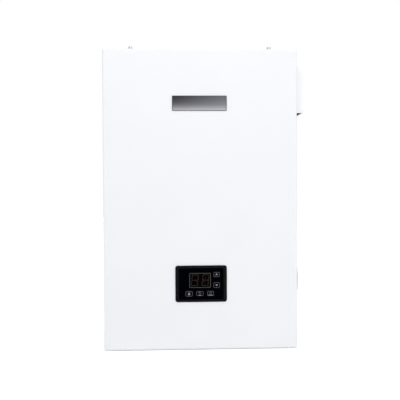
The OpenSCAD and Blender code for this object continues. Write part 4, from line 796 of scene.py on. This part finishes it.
def figures(text, size):
    """Figures, centred, `size` millimetres high."""
    curve = bpy.data.curves.new("figures", "FONT")
    curve.body, curve.size, curve.resolution_u = text, size / CAPITAL_SHARE, 3
    curve.align_x = curve.align_y = "CENTER"
    holder = shown("figures", curve)
    mesh = bpy.data.meshes.new_from_object(holder)
    bm = bmesh.new()
    bm.from_mesh(mesh)
    bpy.data.objects.remove(holder)
    bpy.data.curves.remove(curve)
    bpy.data.meshes.remove(mesh)
    return thicken(bm, PRINT)


# %% [markdown]
# The display is a common two-digit module. Each digit has seven bars, slanted by a few degrees,
# and a dot at its foot. They aren't lit, so they only stand a tenth of a millimetre proud of
# the module, behind the smoked window, whose edge carries a thin printed line.

# %% Display segments
DIGIT_W, DIGIT_H, DIGIT_LEAN = 15.2, 25.7, 7.5
BAR_W, BAR_GAP, BAR_TIP_SHARE = 2.1, 0.5, 0.47
DOT_OUT, DOT_R_SHARE = 1.4, 0.45
DIGIT_X, DIGIT_RISE = (-11.5, 11.9), -0.35
RING_W, RING_H, RING_CORNER, RING_LINE, RING_RISE = 46.1, 31.6, 2, 0.9, -0.55
lens, led_y = box["display_lens"], box["led_display"].low.y


def digit():
    across, half = DIGIT_W - BAR_W, (DIGIT_H - BAR_W) / 2
    flat, tall = (plate(reach - BAR_GAP, BAR_W, BAR_TIP_SHARE * BAR_W) for reach in (across, half))
    bm = bmesh.new()
    for y in (-half, 0, half):
        stamp(bm, flat, at(0, y))
    for x, y in product(both(0, across / 2), both(0, half / 2)):
        stamp(bm, tall, at(x, y) @ twist(90))
    stamp(bm, disc(DOT_R_SHARE * BAR_W, 12), at(DIGIT_W / 2 + DOT_OUT, -half))
    lean = Matrix.Shear("XZ", 4, (math.tan(math.radians(DIGIT_LEAN)), 0))
    bmesh.ops.transform(bm, matrix=lean, verts=bm.verts)
    return bm


gathered("display_segments", led_segment, "led_red",
         (digit(), FRONT, spots([lens.mid.x + x for x in DIGIT_X], led_y,
                                lens.mid.z + DIGIT_RISE)))
gathered("display_outline", print_line_and_painted_highlight, "black_gloss",
         (plate(RING_W, RING_H, RING_CORNER, RING_LINE), FRONT,
          spots(lens.mid.x, lens.low.y, lens.mid.z + RING_RISE)))

# %% [markdown]
# Each key carries an outline and a sign in a pale ink. The outline is a painted highlight: a pale
# ring where the raised edge of the key catches the light. An arrow is a three-sided circle, a flame
# is a circle with its upper half drawn to a tip, the tap is five bars, and the power sign is an
# open band with a bar in its gap. The parts that a lamp behind the key would light are printed
# brighter, and where a bright sign lies on a dim one it is printed thicker.

# %% Key signs
TAP_BARS = [(4.6, 1.3, -0.3, 0.8), (1.3, 2.4, 1.9, 0), (1.3, 1.6, -0.7, 1.8), (3, 0.9, -0.7, 2.8),
            (1.2, 2.4, -2.4, 0.8)]


def arrow(radius=3.2, squash=0.8):
    bm = disc(radius, 3)
    bmesh.ops.scale(bm, vec=(1, squash, 1), verts=bm.verts)
    return bm


def flame(size, depth=PRINT, rise=1.75, taper=0.7, tip=0.02):
    bm = disc(size, depth=depth)
    for v in bm.verts:
        if v.co.y > 0:
            v.co.x *= (1 - v.co.y / size) ** taper + tip
            v.co.y *= rise
    return bm


def tap():
    bm = bmesh.new()
    for width, height, x, y in TAP_BARS:
        stamp(bm, plate(width, height, 0.25), at(x, y))
    return bm


def power(radius=1.9, line=0.85, gap=70):
    bm = arc(radius, line, gap / 2, 360 - gap)
    stamp(bm, plate(0.9, 3, 0.25), at(0, 1.8))
    return bm


def pill(width, height):
    return plate(width, height, 0.48 * height)


# %% [markdown]
# Each key's outline has its width, height, shift and corner, which differ a little from key to
# key as they do on the photographed panel. Each sign has its shift, its twist and its ink.

# %% Print the keys
# The width of the ring of painted highlight along each key's edge.
KEY_HIGHLIGHT_W = 0.95
EDGE_HIGHLIGHT, DIM, LIGHT = range(3)
KEYS = {
    "key_up": (13.3, 10.2, 0.2, 1.6, [(arrow(), 0.35, 0, LIGHT)]),
    "key_down": (13.9, 11.9, -0.3, 3.2, [(arrow(), -0.2, 180, LIGHT)]),
    "key_heating": (15.7, 11.9, -0.35, 4.2,
                    [(flame(3), -0.7, 0, DIM), (flame(1.9, 1.5 * PRINT), -1.5, 0, LIGHT)]),
    "key_tap": (15.6, 10.1, 0, 3, [(tap(), 0.5, 0, DIM), (pill(5.5, 1.5), -3.6, 0, LIGHT)]),
    "key_power": (14.1, 10.2, 0, 1.4, [(power(), 0.7, 0, DIM), (pill(9, 1.4), -3.7, 0, LIGHT)]),
}
# The first stamp on each key is its ring of painted highlight; the others are its signs.
for name, (width, height, shift, corner, signs) in KEYS.items():
    key = box[name]
    gathered(name + "_print", [print_line_and_painted_highlight, print_dim, print_light], "black_gloss",
             (plate(width, height, corner, KEY_HIGHLIGHT_W), FRONT,
              spots(key.mid.x, key.low.y, key.mid.z + shift), EDGE_HIGHLIGHT),
             *((sign, FRONT, spots(key.mid.x, key.low.y, key.mid.z + rise, turn), ink)
               for sign, rise, turn, ink in signs), body=name)

# %% [markdown]
# The case is held by pan head screws: through both side panels into the flanges of the bottom
# panel and the electrics plate, and up through the bottom panel into the feet of the brackets.
# Behind the cover, pop rivets join the side panels to the back plate.

# %% Screws and rivets of the case
FLANGE_Y, FLANGE_RISE = (-190, -110, -30), 8
PLATE_Y, PLATE_Z = -88, (-215, -100)
CONSOLE_FOOT, SWITCH_FOOT = 36, 20
RIVET_X, RIVET_Y, RIVET_Z = 200.5, -3.0, (-540, -420, -300, -180, -60, 30)
side_x, floor_z = box["right_side_panel"].high.x, box["bottom_panel"].low.z
flange_z, foot = floor_z + FLANGE_RISE, box["breaker_bracket"].mid
case_screw = screw_head(3.2, 1.6)
gathered("case_screws", screw_steel, "zinc",
         (case_screw, RIGHT, spots(side_x, FLANGE_Y, flange_z) + spots(side_x, PLATE_Y, PLATE_Z)),
         (case_screw, LEFT, spots(-side_x, FLANGE_Y, flange_z)),
         (case_screw, DOWN, spots(both(0, CONSOLE_FOOT), box["console_bracket"].mid.y, floor_z)
          + spots(foot.x, both(foot.y, SWITCH_FOOT), floor_z)))
rivet = turned([(0, 0), (2.6, 0), (2.4, 0.5), (1.5, 0.8), (0.8, 0.7), (0.7, 0.3), (0, 0.3)], 12)
gathered("pop_rivets", screw_steel, "zinc",
         (rivet, FRONT, spots(both(0, RIVET_X), RIVET_Y, RIVET_Z)))

# %% [markdown]
# The main switch joins four poles. Moulded signs on its nose say which way is on, brass rivets
# hold each pole's two halves together, and three low ribs near the lower edge of the flap give
# the fingertip a hold. The ribs follow the arc of the flap.

# %% Switch
POLE_W, SIGN_Z, SIGN_H = 17.5, 14, 4
SWITCH_RIVET_X, SWITCH_RIVET_Z = (158, 190), 36
FLAP_ARC_R, FLAP_PEAK = 241, -3
RIB_Z, RIB_SINK = (-17, -20.5, -24), 0.2
switch, flap = box["breaker_body"], box["breaker_flap"]
pole_y = [switch.mid.y + (i - 1.5) * POLE_W for i in range(4)]
gathered("switch_signs", print_black, "dark_plastic",
         *((figures(sign, SIGN_H), RIGHT, spots(switch.high.x, pole_y, switch.mid.z + rise))
           for sign, rise in (("I", SIGN_Z), ("0", -SIGN_Z))))
switch_rivet = turned([(0, 0), (2.2, 0), (2, 0.5), (1, 0.7), (0, 0.7)], 12)
gathered("switch_rivets", brass, "brass",
         (switch_rivet, FRONT,
          spots(SWITCH_RIVET_X, switch.low.y, both(switch.mid.z, SWITCH_RIVET_Z))))
ribs = [(flap.high.x - (z - FLAP_PEAK) ** 2 / (2 * FLAP_ARC_R) - RIB_SINK, flap.mid.y,
         switch.mid.z + z) for z in RIB_Z]
gathered("flap_ribs", flap_grey, "grey_plastic", (slab(46, 1.3, 0.7, 0.5, 0.3), RIGHT, ribs),
         body="breaker_flap")

# %% [markdown]
# The terminal block and the contactor have slotted clamp screws, and the power modules have
# nuts. The solids hold plain posts for them, so each head is a little wider than its post and
# hides it. The wires get coloured ferrules where they enter, as an electrician would crimp them.

# %% Terminals
BLOCK_PITCH, BARRIER_OUT, POST_OUT = 15, 8, 3
RELAY_BACK, RELAY_IN = 36, 7.6
TRIAC_FIRST, TRIAC_PITCH, TRIAC_IN = 8.67, 20.33, 10.5
BLOCK_TURN, RELAY_TURN = 17, 25
block, relay, triac = (box[name] for name in ("terminal_block", "contactor", "triac_modules"))
block_x = [block.low.x + (i + 0.5) * BLOCK_PITCH for i in range(6)]
block_z = [block.low.z + share * block.span.z for share in (0.25, 0.75)]
relay_x = [relay.low.x + share * relay.span.x for share in (0.2, 0.5, 0.8)]
relay_z = (relay.low.z + RELAY_IN, relay.high.z - RELAY_IN)
triac_x = [triac.low.x + TRIAC_FIRST + TRIAC_PITCH * i for i in range(3)]
triac_z = (triac.low.z + TRIAC_IN, triac.high.z - TRIAC_IN)
block_spots, relay_spots = (
    [spot for i, x in enumerate(all_x) for spot in spots(x, y, all_z, turn * i)]
    for all_x, y, all_z, turn in ((block_x, block.low.y + BARRIER_OUT, block_z, BLOCK_TURN),
                                  (relay_x, relay.high.y - RELAY_BACK, relay_z, RELAY_TURN)))
gathered("clamp_screws", screw_steel, "zinc",
         (slotted_head(3.95, 5), FRONT, block_spots), (slotted_head(3.2, 4), FRONT, relay_spots),
         (hex_nut(7.4, 2.4, 2.9), FRONT, spots(triac_x, triac.low.y + POST_OUT, triac_z)))

# %% Ferrules
WIRE_R, FERRULE_R, FERRULE_L, SHORT_L = 1.62, 2.4, 7, 4.5
BLOCK_WIRE, RELAY_WIRE, SWITCH_WIRE = 13, 18, 27.7
FERRULE_RED, FERRULE_BLUE, FERRULE_BLACK = range(3)
ferrule, short_ferrule = (sleeve(WIRE_R, FERRULE_R, reach) for reach in (FERRULE_L, SHORT_L))
block_y, relay_y = block.high.y - BLOCK_WIRE, relay.high.y - RELAY_WIRE
gathered("wire_ferrules", [signal_red, lever_blue, chip_black], "wire_insulation",
         (ferrule, DOWN, spots(block_x[1:5], block_y, block.low.z), FERRULE_BLUE),
         (ferrule, UP, spots(block_x[1:4], block_y, block.high.z), FERRULE_RED),
         (ferrule, UP, spots(switch.high.x - SWITCH_WIRE, pole_y, switch.high.z), FERRULE_BLUE),
         (ferrule, DOWN, spots(relay_x, relay_y, relay.low.z), FERRULE_RED),
         (short_ferrule, UP, spots(relay_x, relay_y, relay.high.z), FERRULE_BLACK),
         (short_ferrule, FRONT, spots(triac_x, triac.low.y, triac_z), FERRULE_BLACK))

# %% [markdown]
# The power board is screwed down at its corners. On its free area sit the parts that are too
# small for solids: a controller and two regulators with their legs, a row of resistors, a blue
# varistor disc, a green connector and a fuse.

# %% Parts of the power board
FREE_X, FREE_Z, LAMINATE_DEPTH, BOARD_EDGE = 38, -100, 9.6, 4
RESISTORS, RESISTOR_PITCH = 7, 5


def on_board(x, z, out=0.0):
    """A place on the free area of the power board."""
    return FREE_X + x, board.high.y - LAMINATE_DEPTH - out, FREE_Z + z


def chip(width, height, legs):
    """A black body with steel legs along both long sides, as material 0 and 1."""
    bm = slab(width, height, 1.8)
    leg = slab(0.7, height + 3, 0.5, 0.1, 0.1)
    for i in range(legs):
        stamp(bm, leg, at((i + 0.5 - legs / 2) * width / legs, 0), 1)
    return bm


gathered("board_screws", screw_steel, "zinc",
         (screw_head(2.8, 1.6), FRONT,
          spots((board.low.x + BOARD_EDGE, board.high.x - BOARD_EDGE), on_board(0, 0)[1],
                (board.low.z + BOARD_EDGE, board.high.z - BOARD_EDGE))))
gathered("board_chips", [chip_black, screw_steel], "dark_plastic",
         (chip(16, 7, 8), FRONT, [on_board(12, 8)]),
         (chip(5, 4, 4), FRONT, [on_board(30, 6), on_board(30, 15)]))
gathered("board_parts", [boot_white, lever_blue, print_green], "circuit_board",
         (slab(3.2, 1.6, 0.7), FRONT,
          [on_board(4 + RESISTOR_PITCH * i, 20) for i in range(RESISTORS)], 0),
         (turned([(0, 0), (6, 0), (6, 3.4), (5, 4.2), (0, 4.2)]), FRONT, [on_board(45, 8)], 1),
         (slab(8, 8, 6, 0.4, 0.5), FRONT, [on_board(45, 21)], 2))
fuse = turned([(0, 0), (2.6, 0), (2.6, 5), (2.2, 5), (2.2, 15), (2.6, 15), (2.6, 20), (0, 20)], 16)
gathered("board_fuse", [screw_steel], "zinc", (fuse, LEFT, [on_board(34, 26, 3.4)]))

# %% [markdown]
# The three hairpin elements end in threaded pins on ceramic insulators. Three pins take a wire
# each, under a white heat-proof boot. The other three are joined by a copper star, which makes
# the common point of the three phases, between two brass nuts on each pin.

# %% Heating elements
PIN_CIRCLE_R, PIN_R = 24.8, 2
WIRED, JOINED = (-30, 90, 210), (30, 150, 270)
ARM_END, ARM_BACK, ARM_W, ARM_T, ARM_CORNER, ARM_STEP = 5, 1, 8, 1.2, 3.5, 0.01
STAR_RISE, NUT_SINK, NUT_RISE, BOOT_SINK = 2, 0.6, 3.2, 6
tank, flange = box["heater_tank"], box["element_flange"]
# The tank's box takes in its outlet, so its middle lies 2.5 mm right of the tank's axis, and so
# does what is placed by it.
tank_x, tank_y = tank.mid.x, flange.mid.y
insulator_top = element_top - PIN_L


def pin_spots(angles, z):
    return [(tank_x + PIN_CIRCLE_R * math.cos(math.radians(a)),
             tank_y + PIN_CIRCLE_R * math.sin(math.radians(a)), z, a) for a in angles]


arm_l = PIN_CIRCLE_R + ARM_END
arm = slab(arm_l, ARM_W, ARM_T, ARM_CORNER)
bmesh.ops.translate(arm, vec=(arm_l / 2 - ARM_BACK, 0, 0), verts=arm.verts)
boot = turned([(PIN_R, 0), (3.4, 0), (3.6, 1), (3.4, 9), (2.3, 12), (WIRE_R, 12.4)], closed=True)
gathered("star_link", copper, "copper",
         (arm, UP, [(tank_x, tank_y, insulator_top + STAR_RISE + ARM_STEP * i, a)
                    for i, a in enumerate(JOINED)]))
gathered("element_nuts", brass, "brass",
         (hex_nut(7, 2.6, PIN_R), UP,
          pin_spots(WIRED, insulator_top) + pin_spots(JOINED, insulator_top - NUT_SINK)
          + pin_spots(JOINED, insulator_top + NUT_RISE)))
gathered("element_boots", boot_white, "wire_insulation",
         (boot, UP, pin_spots(WIRED, element_top - BOOT_SINK)))

# %% [markdown]
# The tank is drawn from sheet: its two domes and its neck are welded to the shell. A weld is a
# low bead with a rippled, heat-tinted skin, turned here as a thin ring that stands half sunk in
# the joint. The flange sits on a fibre gasket that shows as a dark line.

# %% Welds and gasket
SHELL_RISE, SHELL_DROP, DOME_H, NECK_R, NECK_DROP = 30, 10, 22, 33.6, 4.2
DOME_BEAD, NECK_BEAD, BEAD_SINK = 1.1, 1.2, 0.4
GASKET_IN, GASKET_OUT, GASKET_HALF = 36, 44.6, 0.7
shell_low, shell_high = tank.low.z + SHELL_RISE, flange.low.z - SHELL_DROP


def bead(radius, half, points=8):
    angles = [i * math.tau / points for i in range(points)]
    return turned([(radius + half * math.cos(a), half * math.sin(a)) for a in angles], 96,
                  closed=True)


gathered("tank_welds", weld_steel, "stainless",
         (bead(tank.span.x / 2 - BEAD_SINK, DOME_BEAD), UP,
          spots(tank_x, tank_y, (shell_low + DOME_H, shell_high - DOME_H))),
         (bead(NECK_R, NECK_BEAD), UP, spots(tank_x, tank_y, shell_high - NECK_DROP)))
gasket = turned([(GASKET_IN, -GASKET_HALF), (GASKET_OUT, -GASKET_HALF), (GASKET_OUT, GASKET_HALF),
                 (GASKET_IN, GASKET_HALF)], 64, closed=True)
gathered("flange_gasket", gasket_fibre, "dark_plastic",
         (gasket, UP, spots(tank_x, tank_y, flange.low.z)))

# %% [markdown]
# A hose or a cable ends in a fitting: a hexagon to hold with a spanner and a pressed sleeve with
# grooves. Where a control wire enters the pump's box, the flow switch or the console, a small
# black gland seals it.

# %% Fittings and glands
HOSE_R, ARM_RISE = 5, 25.5
BOX_WIRE_IN, BOX_WIRE_Y, KNOB_R = 11, -153.5, 8
FLOW_WIRE = (-14.5, -99.5, -482.5)
CONSOLE_WIRE_X, CONSOLE_WIRE_Z = 6.8, -463.1
vessel, motor = box["expansion_vessel"], box["pump_motor"]
arm_z, knob_z = floor_z + ARM_RISE, box["pump_speed_knob"].low.z + KNOB_R
pressed = turned([(HOSE_R, 6), (6.2, 6), (6.5, 7), (6.5, 8.4), (6, 9), (6.5, 9.6), (6.5, 11.4),
                  (6, 12), (6.5, 12.6), (6.5, 14), (6.1, 14.6), (HOSE_R, 14.6)], closed=True)
hose_nut = hex_nut(15, 7, HOSE_R)
hose_ends = ((BACK, spots(tank_x, box["return_manifold"].high.y, arm_z)),
             (DOWN, spots(vessel.mid.x, vessel.mid.y, vessel.low.z)))
gathered("hose_fittings", [brass, screw_steel], "brass",
         *((shape, way, place, i) for way, place in hose_ends
           for i, shape in enumerate((hose_nut, pressed))))
gland = turned([(WIRE_R, 0), (5.4, 0), (5.4, 3), (4.6, 3.4), (4.4, 8), (3.2, 9.4), (WIRE_R, 9.4)],
               12, closed=True)
gathered("wire_glands", chip_black, "black_moulding",
         (gland, RIGHT, spots(motor.high.x - BOX_WIRE_IN, BOX_WIRE_Y, knob_z)),
         (gland, UP, [FLOW_WIRE]),
         (gland, BACK, spots(CONSOLE_WIRE_X, box["console_housing"].high.y, CONSOLE_WIRE_Z)))

# %% [markdown]
# The pressure gauge looks down out of the bottom panel. Its dial is a white disc under a clear
# glass, with a printed scale from 0 to 4 bar over three quarters of a turn. A long and a short
# tick are drawn at their radius and stamped in turn with a twist. The figures stand upright for
# someone in front of the case. Green marks the working range, red the top.

# %% Gauge
DIAL_R, DIAL_T, DIAL_SINK, GLASS_T, GLASS_OUT, GAUGE_RIM_R = 18.9, 0.1, 4, 0.8, 1.6, 23
SCALE_BAR, SWEEP, TICK_R, FIGURE_R, FIGURE_H = 4, 270, 16.5, 10.6, 2.6
BAND_R, BAND_W, GREEN, RED = 16.9, 1.1, (-67.5, 101), (67.5, 67.5)
gauge_x, gauge_y = box["pressure_gauge"].high.x - GAUGE_RIM_R, box["pressure_gauge"].mid.y
dial_z = floor_z + DIAL_SINK
on_dial = (gauge_x, gauge_y, dial_z - DIAL_T)


def tick(length, width):
    bm = plate(width, length)
    bmesh.ops.translate(bm, vec=(0, TICK_R - length / 2, 0), verts=bm.verts)
    return bm


def on_scale(share):
    """The place and the twist of a figure, run clockwise as seen from below."""
    angle = math.radians(SWEEP * (share - 0.5))
    return (gauge_x - FIGURE_R * math.sin(angle), gauge_y + FIGURE_R * math.cos(angle),
            dial_z - DIAL_T, 180)


half_bars = 2 * SCALE_BAR
ticks = [(*on_dial, -SWEEP * (i / half_bars - 0.5)) for i in range(half_bars + 1)]
gathered("gauge_dial", print_white, "grey_plastic",
         (disc(DIAL_R, 48, depth=DIAL_T), DOWN, spots(gauge_x, gauge_y, dial_z)))
gathered("gauge_scale", [print_black, print_green, print_red], "dark_plastic",
         (tick(3.4, 0.6), DOWN, ticks[::2], 0), (tick(2.2, 0.4), DOWN, ticks[1::2], 0),
         *((arc(BAND_R, BAND_W, *band), DOWN, [on_dial], i + 1)
           for i, band in enumerate((GREEN, RED))),
         *((figures(str(i), FIGURE_H), DOWN, [on_scale(i / SCALE_BAR)], 0)
           for i in range(SCALE_BAR + 1)))
gathered("gauge_glass", clear_glass, "smoked_window",
         (slab(2 * DIAL_R, 2 * DIAL_R, GLASS_T, DIAL_R * 0.999), DOWN,
          spots(gauge_x, gauge_y, floor_z - GLASS_OUT)))

# %% [markdown]
# The wet-running pump has a brass bleed screw in the middle of its motor, a terminal box closed
# by four screws, and a speed knob with its three steps marked round it. The safety valve's knob
# shows which way it opens.

# %% Pump and valve marks
BOX_FRONT, BOX_SCREW_X, BOX_SCREW_Z, BOX_DROP = -171.5, 26.5, 11.5, 3
BLEED_TURN, STEP_R, STEP_H = 35, 11, 2.8
ARROW_R, ARROW_LINE, ARROW_START, ARROW_SWEEP = 8.5, 1.5, -100, 200
HEAD_R, HEAD_OUT, HEAD_DROP, HEAD_TURN = 2.6, 9.1, 2.4, 190
steps = [(tank_x + STEP_R * math.sin(a), BOX_FRONT, knob_z + STEP_R * math.cos(a))
         for a in (0, math.pi / 4, math.pi / 2)]
gathered("pump_screws", [brass, screw_steel], "brass",
         (slotted_head(6.5, 2.6, 1.1), FRONT,
          spots(tank_x, motor.low.y, box["pump_impeller"].mid.z, BLEED_TURN), 0),
         (screw_head(2.2, 1.2), FRONT,
          spots(both(tank_x, BOX_SCREW_X), BOX_FRONT, both(knob_z - BOX_DROP, BOX_SCREW_Z)), 1))
gathered("pump_steps", print_white, "grey_plastic",
         *((figures(str(i + 1), STEP_H), FRONT, [step]) for i, step in enumerate(steps)))
knob_y = box["valve_knob"].low.y
gathered("valve_arrow", print_white, "grey_plastic",
         (arc(ARROW_R, ARROW_LINE, ARROW_START, ARROW_SWEEP), FRONT,
          spots(tank_x, knob_y, arm_z)),
         (disc(HEAD_R, 3), FRONT,
          spots(tank_x - HEAD_OUT, knob_y, arm_z - HEAD_DROP, HEAD_TURN)), body="valve_knob")

# %% Vessel and ports
cap = turned([(0, 0), (9, 0), (9, 5.6), (7.8, 7), (2, 7), (1.6, 6.6), (0, 6.6)], 24)
gathered("vessel_cap", chip_black, "dark_plastic",
         (cap, FRONT, spots(vessel.mid.x, vessel.low.y, vessel.mid.z + NIPPLE_L / 2)))
port = turned([(14.5, 0), (19, 0), (18.6, 0.5), (14.9, 0.5)], 48, closed=True)
gathered("port_rings", [signal_red, lever_blue], "red_plastic",
         *((port, DOWN, spots(x, tank_y, floor_z), i)
           for i, x in enumerate((box["flow_pipe"].mid.x, tank_x))))

# %% [markdown]
# The wires are one solid node of loose tubes. A merged copy can be shaded smoothly, and each
# tube takes its own insulation colour: brown, black and grey phases, a blue neutral, and pale
# heat-proof sleeves on the leads of the heater.

# %% Insulation


def insulation(name, colour, roughness=0.38):
    f = Finish(name)
    smear = f.noise(7)
    return f.surface(f.clouded(smear, colour, 0.8, 1.15), roughness + 0.15 * smear,
                     Normal=f.bump(f.noise(0.8), 0.01))


WIRE_COLOURS = {
    "brown": (0.12, 0.035, 0.012), "black": (0.01, 0.01, 0.011), "grey": (0.24, 0.24, 0.25),
    "blue": (0.012, 0.06, 0.32), "sleeve": (0.62, 0.6, 0.54), "white": (0.6, 0.6, 0.6),
}
insulations = {k: insulation("wire_" + k, c) for k, c in WIRE_COLOURS.items()}


def merged_copy(node):
    bm = bmesh.new()
    bm.from_mesh(nodes[node].data)
    bmesh.ops.remove_doubles(bm, verts=bm.verts, dist=0.002 * MM)
    return bm


def islands(bm):
    """Groups of faces that hang together, in the order of their first faces."""
    seen, groups = set(), []
    for start in bm.faces:
        if start in seen:
            continue
        seen.add(start)
        group, todo = [], [start]
        while todo:
            face = todo.pop()
            group.append(face)
            for other in (f for edge in face.edges for f in edge.link_faces if f not in seen):
                seen.add(other)
                todo.append(other)
        groups.append(group)
    return groups


# %% Wires
MARGIN = 20
PHASES = ["brown", "black", "grey", "blue"]
LOOSE = {"sleeve": "sleeve", "control": "white"}


def wire_kind(heights):
    """The run of a wire tells its kind: how low it starts and how high it climbs."""
    if max(heights) > tank.high.z:
        return "sleeve"
    if min(heights) < block.low.z - MARGIN:
        return "supply" if max(heights) < block.high.z else "control"
    return "phase" if min(heights) < block.high.z + MARGIN else "load"


loom = merged_copy("wiring")
kinds = {}
for group in islands(loom):
    ends = [v.co / MM for face in group for v in face.verts]
    kind = wire_kind([end.z for end in ends])
    kinds.setdefault(kind, []).append((min(end.x for end in ends), group))
order = list(insulations)
for kind, groups in kinds.items():
    for i, (_, group) in enumerate(sorted(groups, key=lambda g: g[0])):
        colour = LOOSE[kind] if kind in LOOSE else PHASES[i]
        for face in group:
            face.material_index = order.index(colour)
wires = piece(loom, "wire_loom", list(insulations.values()), "chassis", 50)
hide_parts("wiring")
print("wires:", {k: len(v) for k, v in kinds.items()})

# %% [markdown]
# The hose to the expansion vessel is rubber in a braid of thin steel wire. Two slanting sets of
# waves, multiplied, stand for the crossing strands.

# %% Braided hose


def braid(name, pitch=2.2 * MM):
    f = Finish(name)
    step = math.tau / pitch
    one = ((f.x + f.y + f.z) * step).sine()
    two = ((f.x - f.y - f.z) * step).sine()
    weave = one * two * 0.5 + 0.5
    tone = f.mix(weave, (0.16, 0.16, 0.17), (0.6, 0.61, 0.63))
    return f.surface(tone, 0.32 + 0.2 * weave, Metallic=0.85, Normal=f.bump(weave, 0.25))


hose = piece(merged_copy("vessel_hose"), "braided_hose", braid("steel_braid"), "chassis",
             50)
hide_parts("vessel_hose")

# %% [markdown]
# The studio is a pale floor under a white sky. The world gives an even fill, seen as pure white
# by the camera and in reflections, and soft lamps shape the case: a key high in front, a fill
# from the right, one from above for the top edge and one behind for the back.

# %% Lamps


def lamp(name, where, size, watts):
    light = bpy.data.lights.new(name, "AREA")
    light.shape = "DISK"
    light.size = size
    light.energy = watts
    made = shown(name, light)
    made.location = where
    made.rotation_mode = "QUATERNION"
    made.rotation_quaternion = (middle - Vector(where)).to_track_quat("-Z", "Y")


low, high = cad_box
middle = (low + high) / 2
lamp("key_lamp", (-0.2, -2.6, 1.5), 1.6, 28)
lamp("fill_lamp", (1.9, -1.7, 0.5), 1.8, 6)
lamp("top_lamp", (0.2, -0.6, 2.2), 1.4, 7)
lamp("rear_lamp", (0.6, 2.0, 1.2), 1.6, 12)

# %% [markdown]
# Light Path tells what a ray is for. The sky and the floor turn brighter only for rays that show
# them, to the camera or in metal and glass, so the background is white and the object still gets
# a soft, plain light. The floor's own glow grows with the distance, up to its far edge.

# %% Sky
FILL = 0.55
world = bpy.data.worlds.new("white_sky")
bpy.context.scene.world = world
world.use_nodes = True
sky = Net(world.node_tree)
background = sky.node("Background", sockets={
    "Color": (1, 1, 1), "Strength": FILL + (1 - FILL) * sky.rays()})
sky.node("OutputWorld", sockets={"Surface": background})

# %% Floor
FLOOR_DROP, FLOOR_HALF = 2 * MM, 6.0
GLOW = (0.3, (0.42, 0.42, 0.42)), (0.7, (0.6, 0.6, 0.6))
ground = bmesh.new()
bmesh.ops.create_grid(ground, x_segments=1, y_segments=1, size=FLOOR_HALF)
bmesh.ops.translate(ground, vec=(middle.x, middle.y, low.z - FLOOR_DROP), verts=ground.verts)
floor_mesh = bpy.data.meshes.new("studio_floor")
ground.to_mesh(floor_mesh)
ground.free()
studio_floor = shown("studio_floor", floor_mesh)
paper = Finish("white_paper")
fibre = paper.mix(paper.noise(40), (0.93, 0.93, 0.935), (0.95, 0.95, 0.955))
away = paper.node("VectorMath", {"operation": "LENGTH"}, {0: paper.place}, "Value")
glow = paper.mix(paper.rays(), (0, 0, 0), paper.ramp(away / FLOOR_HALF, *GLOW))
floor_mesh.materials.append(paper.surface(
    fibre, 1.0, Specular_IOR_Level=0, Emission_Color=glow, Emission_Strength=1))
